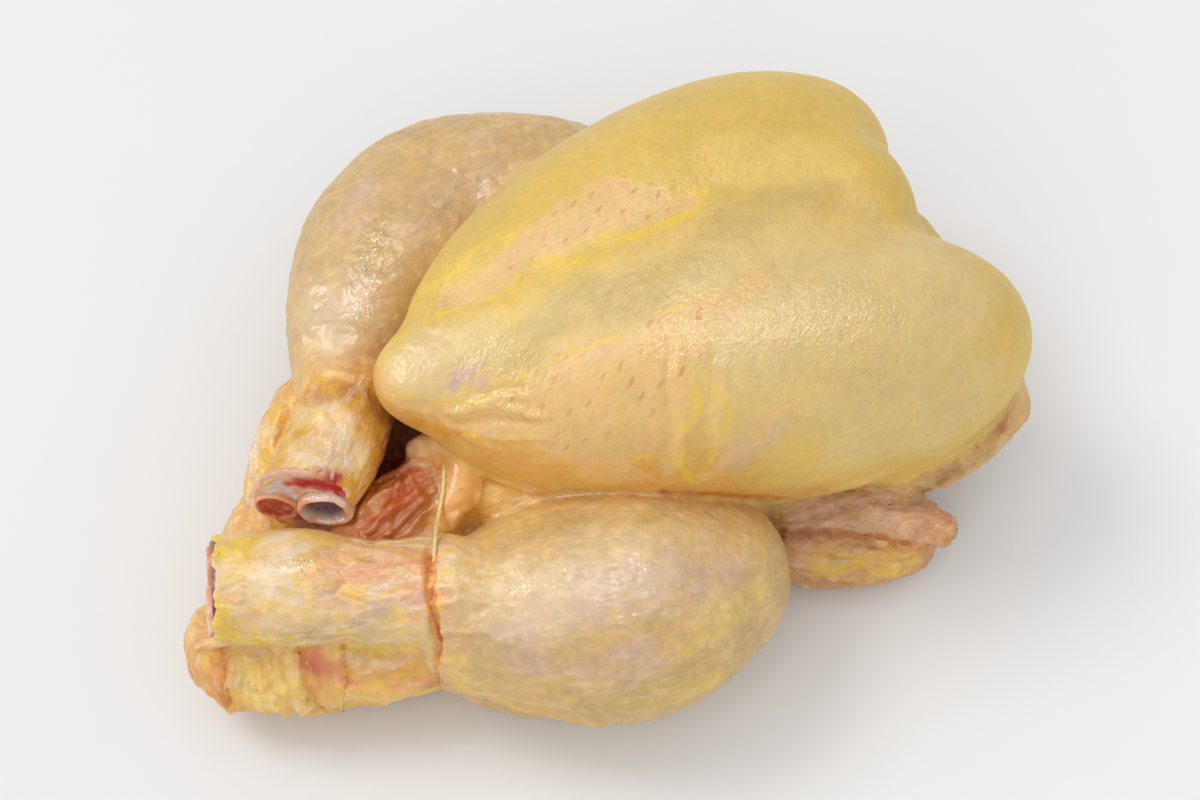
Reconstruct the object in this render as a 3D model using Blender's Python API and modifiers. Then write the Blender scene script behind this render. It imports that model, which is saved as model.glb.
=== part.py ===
"""A whole raw chicken, plucked, drawn and trussed with an elastic thread.

The bird lies on its back, breast up, on the plane z = 0. +X points at its neck end, -Y at
its left side and +Z out of its breast. Every length below is in millimetres, and the
functions that make the meshes turn them into metres.

The body is one solid. It starts as lumps of flesh: eggs, which are UV spheres stretched and
tapered, and limbs, which are bevelled curves with a radius at each station. A voxel Remesh
fuses the lumps, a Smooth takes the seams out, a Decimate keeps the facets few, and Booleans
cut the flat base, the cut bones and the groove that the thread lies in.
"""

import math

import bmesh
import bpy
from mathutils import Matrix, Vector

MM = 0.001

# The middle of the whole bird's box, in the coordinates that the lumps are given in.
ORIGIN = Vector((-1.7, 3.9, 0.0))

BREAST_VOXEL = 3.5
BREAST_SMOOTHING = 22
BREAST_FILL = 1.2
BODY_VOXEL = 2.0
BODY_TRIANGLES = 6900
BASE_DEPTH = 20.0
FLAT_BASE_SINK = 6.0

THREAD_RADIUS = 0.8
THREAD_GAP = 0.35
THREAD_BEVEL = 1

SKIN_COLOUR = (0.72, 0.52, 0.19, 1.0)
SKIN_ROUGHNESS = 0.32
THREAD_COLOUR = (0.80, 0.66, 0.36, 1.0)
THREAD_ROUGHNESS = 0.6

# Eggs are centre, radii, yaw, pitch and taper. Yaw and pitch are in degrees, a positive
# pitch lifts the +X end, and a positive taper makes that end fatter.
CARCASS_EGGS = [
    ((34, 2, 46 - FLAT_BASE_SINK), (84, 56, 46), 0, 0, 0.05),
    ((-42, -2, 26 - FLAT_BASE_SINK), (58, 46, 26), 0, 0, 0),
]
BREAST_EGGS = [
    ((42, -22, 68), (92, 37, 45), -11, -3, 0.22),
    ((34, 28, 70), (85, 40, 42), 10, -3, 0.11),
    ((88, -4, 72), (30, 30, 31), 0, 0, 0),
    ((46, 2, 70), (72, 34, 37), 0, -2, 0.1),
]
NECK_EGGS = [((102, 0, 33), (27, 46, 25), 0, 0, 0)]
TAIL_EGGS = [
    ((-124, -31, 25), (12, 15, 17), 0, 0, 0),
    ((-86, -8, 18), (34, 30, 18), 0, 0, 0),
]

# Limbs are stations of x, y, z and radius, joined by a smooth curve.
KEEL = [(-44, 6, 78, 14), (0, 0, 92, 14), (50, -1, 98, 13), (98, 5, 84, 18)]
NECK_SKIN = [(86, -53, 30, 9), (104, -52, 33, 11), (119, -46, 36, 11)]
LEFT_LEG = [(-47, -52, 43, 26), (-29, -59, 38, 32), (-10, -66, 37, 35.5), (11, -66, 36, 28.5)]
LEFT_LEG_FOLD = [(-57, -49, 16, 17), (-43, -62, 18, 18), (-21, -71, 22, 20)]
RIGHT_LEG = [
    (-65, 23, 54, 15),
    (-54, 44, 50, 22),
    (-35, 64, 44, 31),
    (-13, 75, 38, 34),
    (14, 66, 34, 35),
    (27, 57, 32, 32),
]
LEFT_SHANK = [
    (-59, -48, 50, 16),
    (-78, -41, 50, 15.5),
    (-99, -31, 50, 16.5),
    (-123, -21, 48, 17),
    (-132, -17, 47, 17),
]
RIGHT_SHANK = [(-65, 19, 58, 14.5), (-76, 4, 60, 15), (-88, -8, 60, 14), (-99, -20, 60, 14)]
BACK_SKIN_FOLD = [(-81, 28, 48, 9), (-90, 18, 42, 11), (-98, 7, 34, 11), (-102, -10, 28, 12)]
THIGH_FLAP = [(-69, -49, 17, 16), (-83, -45, 19, 18), (-98, -40, 19, 18)]
TAIL = [(-96, -40, 20, 18), (-109, -36, 19, 19), (-118, -31, 19, 18)]
VENT_FLAP = [(-45, -10, 52, 8), (-53, -11, 49, 9), (-64, -16, 46, 10), (-76, -20, 42, 10)]
VENT_LOOP = [
    (-52, -5, 54, 4),
    (-45, -7, 56, 4.5),
    (-41, -13, 55, 4.5),
    (-44, -19, 52, 4),
    (-50, -24, 50, 4),
]
FLANK = [(-41, -16, 42, 12), (-31, -23, 40, 14), (-19, -33, 36, 16)]
FLANK_FOLD = [(-54, -26, 46, 7), (-67, -26, 44, 7), (-76, -25, 42, 8)]
LEFT_WING = [(48, -57, 13, 13), (64, -65, 12, 11.5), (80, -69, 12, 9.5)]
LEFT_WING_RIDGE = [(48, -55, 24, 10), (66, -59, 24, 10), (82, -65, 21, 8.5), (87, -68, 20, 6)]
LEFT_WING_KNOB = [(86, -68, 20, 6), (91, -72, 20, 5)]
RIGHT_WING = [(44, 58, 14, 14), (66, 67, 13, 13), (84, 70, 13, 10)]
RIGHT_WING_RIDGE = [(46, 56, 26, 11), (68, 61, 25, 11), (86, 66, 22, 9), (95, 70, 20, 6)]

# The recess at the vent, between the hocks and the tip of the keel.
RECESS_EGG = ((-55, 6, 50), (16, 16, 24), 0, 0, 0)

# Each cut hock is a point on the cut and the way the cut faces.
RIGHT_HOCK = ((-90, -10, 60), (-0.443, -0.883, 0.156))
LEFT_HOCK = ((-123, -21, 48), (-0.955, 0.28, 0.10))

# The bones in a cut: how far each one's middle lies across and up the cut, its radii across
# and up, and the depth of its hollow.
HOCK_BONES = [(-8.0, 0.5, 5.2, 4.8, 1.4), (6.2, -0.8, 6.8, 6.6, 4.0)]
BONE_PROUD = 0.8
BONE_SUNK = 5.0
BONE_WALL = 1.7
BONE_SIDES = 20

# The thread's closed route: over the vent flap, down the crease above the left hock, under
# the back, up round the right hock and back through the recess.
THREAD_ROUTE = [
    (-53, 2, 60),
    (-48, -7, 60),
    (-48, -14, 61),
    (-51, -20, 58),
    (-54, -27, 57),
    (-59, -40, 64.5),
    (-64, -50, 66),
    (-67, -58, 60),
    (-69, -64, 49),
    (-70, -67, 36),
    (-69, -65, 22),
    (-67, -57, 9),
    (-64, -44, 2.2),
    (-61, -22, 1.4),
    (-59, 2, 1.4),
    (-58, 22, 2.2),
    (-60, 38, 10),
    (-66, 48, 24),
    (-74, 46, 42),
    (-77, 34, 57),
    (-71, 24, 68),
    (-61, 15, 68),
    (-56, 8, 62),
]


def to_metres(point):
    """The place in the scene of a point of the bird."""
    return (Vector(point) - ORIGIN) * MM


def clear_scene():
    for obj in list(bpy.data.objects):
        bpy.data.objects.remove(obj, do_unlink=True)


def new_collection(name, hidden=False):
    collection = bpy.data.collections.new(name)
    bpy.context.scene.collection.children.link(collection)
    collection.hide_render = hidden
    return collection


def principled(name, colour, roughness):
    material = bpy.data.materials.new(name)
    material.use_nodes = True
    shader = material.node_tree.nodes["Principled BSDF"]
    shader.inputs["Base Color"].default_value = colour
    shader.inputs["Roughness"].default_value = roughness
    shader.inputs["Metallic"].default_value = 0.0
    material.diffuse_color = colour
    return material


def egg(shape):
    """The mesh of a stretched, tapered and turned UV sphere."""
    centre, radii, yaw, pitch, taper = shape
    mesh = bpy.data.meshes.new("egg")
    bm = bmesh.new()
    bmesh.ops.create_uvsphere(bm, u_segments=48, v_segments=28, radius=1.0)
    for vertex in bm.verts:
        swell = 1 + taper * vertex.co.x
        vertex.co = Vector(
            (
                vertex.co.x * radii[0],
                vertex.co.y * radii[1] * swell,
                vertex.co.z * radii[2] * swell,
            )
        )
    turn = Matrix.Rotation(math.radians(yaw), 4, "Z") @ Matrix.Rotation(math.radians(-pitch), 4, "Y")
    bm.transform(Matrix.Translation(to_metres(centre)) @ turn @ Matrix.Scale(MM, 4))
    bm.to_mesh(mesh)
    bm.free()
    return mesh


def curve_mesh(stations, bevel, resolution, closed=False):
    """The mesh of a tube through stations of x, y, z and radius, with flat filled ends."""
    curve = bpy.data.curves.new("limb", "CURVE")
    curve.dimensions = "3D"
    curve.bevel_depth = MM
    curve.bevel_resolution = bevel
    curve.resolution_u = resolution
    curve.use_fill_caps = True
    spline = curve.splines.new("BEZIER")
    spline.bezier_points.add(len(stations) - 1)
    spline.use_cyclic_u = closed
    for point, station in zip(spline.bezier_points, stations):
        point.co = to_metres(station[:3])
        point.radius = station[3]
        point.handle_left_type = "AUTO"
        point.handle_right_type = "AUTO"
    guide = bpy.data.objects.new("limb", curve)
    bpy.context.scene.collection.objects.link(guide)
    graph = bpy.context.evaluated_depsgraph_get()
    mesh = bpy.data.meshes.new_from_object(guide.evaluated_get(graph))
    bpy.data.objects.remove(guide, do_unlink=True)
    bpy.data.curves.remove(curve)
    bm = bmesh.new()
    bm.from_mesh(mesh)
    bmesh.ops.remove_doubles(bm, verts=bm.verts, dist=0.01 * MM)
    bmesh.ops.recalc_face_normals(bm, faces=bm.faces)
    bm.to_mesh(mesh)
    bm.free()
    return mesh


def limb(stations, cut=None):
    """The meshes of a tube and its round ends. A cut is a point and the way it faces."""
    tube = curve_mesh(stations, 6, 10)
    ends = [stations[0], stations[-1]]
    if cut:
        ends = [stations[0]]
        bm = bmesh.new()
        bm.from_mesh(tube)
        geometry = bm.verts[:] + bm.edges[:] + bm.faces[:]
        sliced = bmesh.ops.bisect_plane(
            bm,
            geom=geometry,
            plane_co=to_metres(cut[0]),
            plane_no=Vector(cut[1]),
            clear_outer=True,
        )
        rim = [item for item in sliced["geom_cut"] if isinstance(item, bmesh.types.BMEdge)]
        bmesh.ops.contextual_create(bm, geom=rim)
        bmesh.ops.recalc_face_normals(bm, faces=bm.faces)
        bm.to_mesh(tube)
        bm.free()
    rounds = [egg((end[:3], (end[3], end[3], end[3]), 0, 0, 0)) for end in ends]
    return [tube] + rounds


def join_meshes(name, meshes, collection):
    """One object that holds all the meshes."""
    bm = bmesh.new()
    for mesh in meshes:
        bm.from_mesh(mesh)
        bpy.data.meshes.remove(mesh)
    joined = bpy.data.meshes.new(name)
    bm.to_mesh(joined)
    bm.free()
    obj = bpy.data.objects.new(name, joined)
    collection.objects.link(obj)
    return obj


def add_remesh(obj, voxel):
    remesh = obj.modifiers.new("fuse", "REMESH")
    remesh.mode = "VOXEL"
    remesh.voxel_size = voxel * MM


def add_smooth(obj, repeats):
    smooth = obj.modifiers.new("smooth", "SMOOTH")
    smooth.factor = 0.5
    smooth.iterations = repeats


def add_swell(obj, distance):
    """Gives back the fullness that smoothing takes from a mesh."""
    swell = obj.modifiers.new("swell", "DISPLACE")
    swell.strength = distance * MM
    swell.mid_level = 0.0


def add_boolean(obj, other, operation):
    boolean = obj.modifiers.new(other.name, "BOOLEAN")
    boolean.operation = operation
    boolean.solver = "EXACT"
    boolean.object = other


def apply_modifiers(obj):
    """Puts the evaluated shape into the object's own mesh and clears its modifiers."""
    graph = bpy.context.evaluated_depsgraph_get()
    shaped = bpy.data.meshes.new_from_object(obj.evaluated_get(graph))
    obj.modifiers.clear()
    old = obj.data
    obj.data = shaped
    bpy.data.meshes.remove(old)


def make_cutter(name, mesh, collection):
    cutter = join_meshes(name, [mesh], collection)
    cutter.display_type = "WIRE"
    cutter.hide_render = True
    return cutter


def slab_mesh(depth):
    """A block whose top is the plane that the bird lies on."""
    mesh = bpy.data.meshes.new("slab")
    bm = bmesh.new()
    bmesh.ops.create_cube(bm, size=1.0)
    bmesh.ops.scale(bm, vec=Vector((0.6, 0.6, depth * MM)), verts=bm.verts)
    bmesh.ops.translate(bm, vec=Vector((0, 0, -depth * MM / 2)), verts=bm.verts)
    bm.to_mesh(mesh)
    bm.free()
    return mesh


def plug_mesh(hock, across, up, radii, ends):
    """An oval plug that crosses a cut, from one depth to the other. Outward is positive."""
    centre, facing = hock
    normal = Vector(facing).normalized()
    side = Vector((0, 0, 1)).cross(normal).normalized()
    top = normal.cross(side)
    middle = to_metres(centre) + (side * across + top * up + normal * sum(ends) / 2) * MM
    axes = Matrix((side, top, normal)).transposed().to_4x4()
    size = Matrix.Diagonal((radii[0] * MM, radii[1] * MM, (ends[1] - ends[0]) * MM, 1))
    mesh = bpy.data.meshes.new("plug")
    bm = bmesh.new()
    bmesh.ops.create_cone(
        bm, cap_ends=True, segments=BONE_SIDES, radius1=0.86, radius2=1.0, depth=1.0
    )
    bm.transform(Matrix.Translation(middle) @ axes @ size)
    bm.to_mesh(mesh)
    bm.free()
    return mesh


def thread_mesh(radius):
    route = [(*point, radius) for point in THREAD_ROUTE]
    return curve_mesh(route, THREAD_BEVEL, 4, closed=True)


def make_breast(scratch):
    """The two breast lobes and the keel between them, blended into one mesh."""
    lumps = [egg(shape) for shape in BREAST_EGGS]
    lumps += limb(KEEL)
    breast = join_meshes("breast", lumps, scratch)
    add_remesh(breast, BREAST_VOXEL)
    add_smooth(breast, BREAST_SMOOTHING)
    add_swell(breast, BREAST_FILL)
    apply_modifiers(breast)
    return breast


def make_vent(scratch):
    """The carcass, the flank and the flap, with the recess cut into them."""
    lumps = [egg(shape) for shape in CARCASS_EGGS]
    for stations in (FLANK, FLANK_FOLD, VENT_FLAP):
        lumps += limb(stations)
    vent = join_meshes("vent", lumps, scratch)
    add_remesh(vent, BODY_VOXEL)
    recess = join_meshes("recess", [egg(RECESS_EGG)], scratch)
    add_boolean(vent, recess, "DIFFERENCE")
    apply_modifiers(vent)
    bpy.data.objects.remove(recess, do_unlink=True)
    return vent


def make_chicken(collection, cutters):
    scratch = new_collection("scratch")
    breast = make_breast(scratch)
    vent = make_vent(scratch)
    lumps = [breast.data.copy(), vent.data.copy()]
    lumps += [egg(shape) for shape in NECK_EGGS + TAIL_EGGS]
    for stations in (
        NECK_SKIN,
        LEFT_LEG,
        LEFT_LEG_FOLD,
        RIGHT_LEG,
        BACK_SKIN_FOLD,
        THIGH_FLAP,
        TAIL,
        VENT_LOOP,
        LEFT_WING,
        LEFT_WING_RIDGE,
        LEFT_WING_KNOB,
        RIGHT_WING,
        RIGHT_WING_RIDGE,
    ):
        lumps += limb(stations)
    lumps += limb(LEFT_SHANK, LEFT_HOCK)
    lumps += limb(RIGHT_SHANK, RIGHT_HOCK)
    for obj in (breast, vent):
        bpy.data.objects.remove(obj, do_unlink=True)
    bpy.data.collections.remove(scratch)

    chicken = join_meshes("chicken", lumps, collection)
    add_remesh(chicken, BODY_VOXEL)
    add_smooth(chicken, 3)
    apply_modifiers(chicken)
    decimate = chicken.modifiers.new("fewer facets", "DECIMATE")
    decimate.ratio = BODY_TRIANGLES / (2 * len(chicken.data.polygons))
    apply_modifiers(chicken)

    add_boolean(chicken, make_cutter("base_cutter", slab_mesh(BASE_DEPTH), cutters), "DIFFERENCE")
    for side, hock in (("left", LEFT_HOCK), ("right", RIGHT_HOCK)):
        for number, (across, up, wide, high, depth) in enumerate(HOCK_BONES, 1):
            bone = plug_mesh(hock, across, up, (wide, high), (-BONE_SUNK, BONE_PROUD))
            hollow_radii = (wide - BONE_WALL, high - BONE_WALL)
            hollow = plug_mesh(hock, across, up, hollow_radii, (-depth, BONE_PROUD + 1))
            name = f"{side}_bone_{number}"
            add_boolean(chicken, make_cutter(name, bone, cutters), "UNION")
            add_boolean(chicken, make_cutter(f"{name}_hollow", hollow, cutters), "DIFFERENCE")
    groove = make_cutter("thread_groove", thread_mesh(THREAD_RADIUS + THREAD_GAP), cutters)
    add_boolean(chicken, groove, "DIFFERENCE")
    return chicken


def finish(obj, material):
    obj.data.materials.clear()
    obj.data.materials.append(material)
    obj.data.polygons.foreach_set("use_smooth", [True] * len(obj.data.polygons))


def main():
    clear_scene()
    body = new_collection("whole_chicken")
    cutters = new_collection("cutters", hidden=True)
    chicken = make_chicken(body, cutters)
    thread = join_meshes("truss_thread", [thread_mesh(THREAD_RADIUS)], body)
    finish(chicken, principled("raw_skin", SKIN_COLOUR, SKIN_ROUGHNESS))
    finish(thread, principled("truss_thread", THREAD_COLOUR, THREAD_ROUGHNESS))


main()
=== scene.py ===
"""The looks of a whole raw chicken, plucked, drawn and trussed with an elastic thread.

The skin is one closed mesh. Its flesh is a block of signed distances, in millimetres, that
repeats the lumps of the CAD solid and blends them; a surface is drawn through the block, and
folds, wrinkles and goose bumps are raised on it. Small pieces go on and into it: the flesh
and bones of the cut hocks, quill stubs, crumbs of fat and the twisted thread.

Every place below is in millimetres in the lumps' own coordinates. to_frame() turns such
places into metres in the frame of the CAD model.
"""

import itertools
import math

import bpy
import numpy as np
import openvdb
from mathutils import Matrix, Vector


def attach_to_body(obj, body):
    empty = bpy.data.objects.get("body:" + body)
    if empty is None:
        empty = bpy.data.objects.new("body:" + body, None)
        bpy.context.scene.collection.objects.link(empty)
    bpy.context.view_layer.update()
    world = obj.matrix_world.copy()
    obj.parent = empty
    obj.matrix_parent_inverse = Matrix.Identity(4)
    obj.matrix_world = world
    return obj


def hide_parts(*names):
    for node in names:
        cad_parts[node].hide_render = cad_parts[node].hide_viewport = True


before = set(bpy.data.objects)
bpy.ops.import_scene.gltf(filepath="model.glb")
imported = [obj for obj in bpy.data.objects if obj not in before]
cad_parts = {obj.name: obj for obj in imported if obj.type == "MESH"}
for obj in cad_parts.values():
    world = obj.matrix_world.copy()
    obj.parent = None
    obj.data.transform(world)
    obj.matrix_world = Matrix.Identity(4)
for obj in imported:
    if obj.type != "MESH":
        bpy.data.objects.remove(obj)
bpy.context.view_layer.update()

MM = 0.001
ORIGIN = np.array((-1.7, 3.9, 0.0))

# The block of flesh: its step, its corners, and how far round a lump it is worked out.
VOXEL = 0.85
BLOCK_LOW = (-150, -112, -5)
BLOCK_HIGH = (138, 116, 122)
FAR = 60.0
WINDOW_MARGIN = 9.0
SKIN_TRIANGLES = 197_000

# ---------------------------------------------------------------- flesh: eggs and limbs

# Eggs are centre, radii, yaw, pitch and taper. Limbs are stations of x, y, z and radius.
CARCASS_EGGS = [
    ((34, 2, 40), (84, 56, 46), 0, 0, 0.05),
    ((-42, -2, 20), (58, 46, 26), 0, 0, 0),
]
BREAST_EGGS = [
    ((41, -22, 68), (91, 37, 45), -11, -3, 0.2),
    ((35, 28, 70), (83, 39, 42), 10, -3, 0.09),
    ((79, 10, 70), (29, 31, 32), 0, 0, 0),
    ((44, 3, 70), (68, 37, 37), 0, -2, 0.08),
]
KEEL = [(-46, 6, 78, 14), (0, 0, 92, 14), (50, -1, 98, 13), (92, 12, 84, 18)]
NECK_EGG = ((102, 0, 33), (27, 46, 25), 0, 0, 0)
NECK_SKIN = [(86, -53, 30, 9), (104, -52, 33, 11), (119, -46, 36, 11)]
TAIL_TIP_EGG = ((-124, -31, 25), (11, 14, 16), 0, 0, 0)
TAIL_ROOT_EGG = ((-86, -8, 18), (34, 30, 18), 0, 0, 0)
TAIL = [(-98, -39, 24, 17.5), (-109, -36, 23, 18.5), (-118, -31, 22, 17.5)]
LEFT_LEG = [(-50, -55, 38, 24), (-30, -60, 38, 31), (-10, -66, 37, 35.5), (11, -66, 36, 28.5)]
LEFT_LEG_FOLD = [(-57, -49, 16, 17), (-43, -62, 18, 18), (-21, -71, 22, 20)]
RIGHT_LEG = [
    (-65, 23, 54, 15),
    (-54, 44, 50, 22),
    (-35, 64, 44, 31),
    (-13, 75, 38, 34),
    (14, 66, 34, 35),
    (27, 57, 32, 32),
]
LEFT_SHANK = [
    (-59, -48, 50, 16),
    (-78, -41, 50, 15),
    (-88, -36, 50, 15.3),
    (-99, -31, 50, 17.2),
    (-112, -26, 49, 17),
    (-123, -21, 48, 16.4),
    (-132, -17, 47, 16.4),
]
RIGHT_SHANK = [(-65, 19, 58, 14.5), (-76, 4, 60, 15), (-88, -8, 60, 14), (-99, -20, 60, 14)]
BACK_SKIN_FOLD = [(-79, 27, 48, 8), (-88, 17, 42, 9.5), (-95, 6, 34, 10), (-101, -10, 28, 12)]
THIGH_FLAP = [(-69, -49, 23, 16), (-83, -46, 24, 17.5), (-97, -41, 23, 17.5)]
VENT_FLAP = [(-48, -8, 47, 8), (-56, -14, 44, 11), (-66, -18, 43, 12), (-78, -22, 41, 11.5)]
VENT_LOOP = [
    (-52, -3, 53, 4),
    (-46, -6, 57, 5),
    (-41.5, -13, 59, 5.5),
    (-44, -20, 57, 5),
    (-50, -26, 53, 4),
]
FLANK = [(-41, -16, 46, 12), (-31, -23, 45, 14), (-19, -33, 41, 16)]
FLANK_FOLD = [(-54, -26, 46, 7), (-67, -26, 44, 7), (-76, -25, 42, 8)]
LEFT_WING = [(48, -57, 13, 13), (64, -65, 12, 11.5), (80, -69, 12, 9.5)]
LEFT_WING_RIDGE = [(48, -55, 24, 10), (66, -59, 24, 10), (82, -65, 21, 8.5), (87, -68, 20, 6)]
LEFT_WING_KNOB = [(86, -68, 20, 6), (91, -72, 20, 5)]
RIGHT_WING = [(44, 58, 14, 14), (66, 67, 13, 13), (84, 70, 13, 10)]
RIGHT_WING_RIDGE = [(46, 56, 26, 11), (68, 61, 25, 11), (86, 66, 22, 9), (95, 70, 20, 6)]
RECESS_EGG = ((-55, 6, 50), (16, 16, 24), 0, 0, 0)

# Each cut hock is a point on the cut and the way the cut faces.
RIGHT_HOCK = ((-90, -10, 60), (-0.443, -0.883, 0.156))
LEFT_HOCK = ((-123, -21, 48), (-0.955, 0.28, 0.10))
SKIN_RIM = 1.7
RIM_HEIGHT = 2.6
CUT_SOFTNESS = 1.6
SOCKET_SOFTNESS = 0.8
HOCK_REACH = 13.5
CUP_MIDDLE = (6.2, -2.6)
CUP_RADII = (8.2, 7.2)
CUP_POCKET = (5.9, 7.5)

THREAD_ROUTE = [
    (-56, 4, 20),
    (-48, -6, 26),
    (-45, -9, 44),
    (-47, -13, 57),
    (-50, -20, 58),
    (-54, -27, 57),
    (-59, -38, 64),
    (-62, -45, 62.5),
    (-64.5, -53, 57),
    (-65.5, -59, 47),
    (-66, -61, 36),
    (-65, -59.5, 23),
    (-64.5, -54, 10),
    (-64, -44, 2.2),
    (-61, -22, 1.4),
    (-59, 2, 1.4),
    (-58, 22, 2.2),
    (-60, 38, 10),
    (-66, 48, 24),
    (-72, 45, 41),
    (-74, 33, 54),
    (-69, 23, 60),
    (-67, 23, 48),
    (-66, 23, 36),
    (-62, 16, 22),
]
BARE_THREAD = slice(2, 7)
THREAD_PLIES = 3
THREAD_PLY_RADIUS = 0.36
THREAD_TWIST_PITCH = 10.0
THREAD_STEP = 0.7
PLY_SIDES = 7
PLY_SPREAD = 0.82


def to_frame(points):
    """Places in the frame of the CAD model, in metres."""
    return (np.asarray(points, float) - ORIGIN) * MM


def soft_min(a, b, softness):
    """The lesser of two distances, rounded where they are within softness of each other."""
    if softness <= 0:
        return np.minimum(a, b)
    overlap = np.clip(softness - np.abs(a - b), 0, None) / softness
    return np.minimum(a, b) - overlap * overlap * softness * 0.25


def soft_max(a, b, softness):
    return -soft_min(-a, -b, softness)


def smooth_step(value, low, high):
    """0 below low, 1 above high, and an easy slope between. Low may be the greater."""
    share = np.clip((value - low) / (high - low), 0, 1)
    return share * share * (3 - 2 * share)


class Lump:
    """A shape known by its distance function and the box that holds it."""

    def __init__(self, distance, low, high):
        self.distance = distance
        self.low = np.asarray(low, float)
        self.high = np.asarray(high, float)

    def at(self, points):
        return self.distance(points[:, 0], points[:, 1], points[:, 2])


def egg(shape):
    """An egg of three radii, turned, tipped and thicker at one end by its taper."""
    centre, radii, yaw, pitch, taper = shape
    turn, lift = math.radians(yaw), math.radians(pitch)
    level = [[math.cos(turn), -math.sin(turn), 0], [math.sin(turn), math.cos(turn), 0], [0, 0, 1]]
    tilt = [[math.cos(lift), 0, -math.sin(lift)], [0, 1, 0], [math.sin(lift), 0, math.cos(lift)]]
    axes = np.array(level) @ np.array(tilt)
    reach = np.sqrt(((axes * np.array(radii) * (1 + abs(taper))) ** 2).sum(1))

    def distance(x, y, z):
        x, y, z = x - centre[0], y - centre[1], z - centre[2]
        along = (x * axes[0, 0] + y * axes[1, 0] + z * axes[2, 0]) / radii[0]
        swell = 1 + taper * np.clip(along, -1.2, 1.2)
        wide, high = radii[1] * swell, radii[2] * swell
        side = (x * axes[0, 1] + y * axes[1, 1] + z * axes[2, 1]) / wide
        top = (x * axes[0, 2] + y * axes[1, 2] + z * axes[2, 2]) / high
        size = np.sqrt(along**2 + side**2 + top**2) + 1e-6
        slope = np.sqrt((along / radii[0]) ** 2 + (side / wide) ** 2 + (top / high) ** 2) + 1e-9
        return size * (size - 1) / slope

    return Lump(distance, np.array(centre) - reach, np.array(centre) + reach)


def smooth_path(stations, steps):
    """The stations with steps - 1 more between each two, on a Catmull-Rom curve."""
    known = np.array(stations, float)
    known = np.vstack([2 * known[0] - known[1], known, 2 * known[-1] - known[-2]])
    found = []
    for index in range(1, len(known) - 2):
        a, b, c, d = known[index - 1 : index + 3]
        for t in np.arange(steps) / steps:
            bend = (2 * a - 5 * b + 4 * c - d) * t**2 + (3 * b - a - 3 * c + d) * t**3
            found.append((2 * b + (c - a) * t + bend) / 2)
    found.append(known[-2])
    return np.array(found)


def limb(stations, steps=5):
    """A round limb through stations, each a place and a radius."""
    path = smooth_path(stations, steps)
    low = (path[:, :3] - path[:, 3:]).min(0)
    high = (path[:, :3] + path[:, 3:]).max(0)

    def distance(x, y, z):
        nearest = None
        for a, b in zip(path[:-1], path[1:]):
            run = b - a
            length = run[:3] @ run[:3] + 1e-9
            x0, y0, z0 = x - a[0], y - a[1], z - a[2]
            share = np.clip((x0 * run[0] + y0 * run[1] + z0 * run[2]) / length, 0, 1)
            gap = (x0 - share * run[0]) ** 2 + (y0 - share * run[1]) ** 2
            gap = np.sqrt(gap + (z0 - share * run[2]) ** 2) - (a[3] + run[3] * share)
            nearest = gap if nearest is None else np.minimum(nearest, gap)
        return nearest

    return Lump(distance, low, high)


def blended(parts):
    """One lump of several. Each part is a lump and how softly it joins those before it."""

    def distance(x, y, z):
        total = parts[0][0].distance(x, y, z)
        for lump, softness in parts[1:]:
            total = soft_min(total, lump.distance(x, y, z), softness)
        return total

    low = np.min([lump.low for lump, _ in parts], axis=0)
    high = np.max([lump.high for lump, _ in parts], axis=0)
    return Lump(distance, low, high)


def hock_normal(hock):
    return np.array(hock[1]) / np.linalg.norm(hock[1])


def plane_distance(hock, x, y, z):
    """How far out of a cut hock each place is."""
    centre, normal = hock[0], hock_normal(hock)
    return (x - centre[0]) * normal[0] + (y - centre[1]) * normal[1] + (z - centre[2]) * normal[2]


def hock_place(hock, across, up, out):
    """A place on a cut hock: across it, up it and out of it."""
    normal = hock_normal(hock)
    side = np.cross((0, 0, 1), normal)
    side /= np.linalg.norm(side)
    top = np.cross(normal, side)
    spot = np.multiply.outer(across, side) + np.multiply.outer(up, top)
    return np.array(hock[0]) + (spot + np.multiply.outer(out, normal))


def cut_off(lump, hock):
    """The lump without what lies outside the cut."""

    def distance(x, y, z):
        return soft_max(lump.distance(x, y, z), plane_distance(hock, x, y, z), CUT_SOFTNESS)

    return Lump(distance, lump.low, lump.high)


def hock_socket(lump, hock):
    """What is taken out of a cut end, so that the skin stands round it as a rim."""
    radius, depth = CUP_POCKET
    middle = hock_place(hock, *CUP_MIDDLE, 0)

    def distance(x, y, z):
        out = plane_distance(hock, x, y, z)
        away = (x - middle[0]) ** 2 + (y - middle[1]) ** 2 + (z - middle[2]) ** 2
        wide = np.sqrt(np.maximum(away - out * out, 0)) - radius
        pocket = soft_max(wide, -out - depth, SOCKET_SOFTNESS)
        inside = lump.distance(x, y, z) + SKIN_RIM
        return np.minimum(soft_max(inside, -out - RIM_HEIGHT, SOCKET_SOFTNESS), pocket)

    return Lump(distance, lump.low, lump.high)


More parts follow.
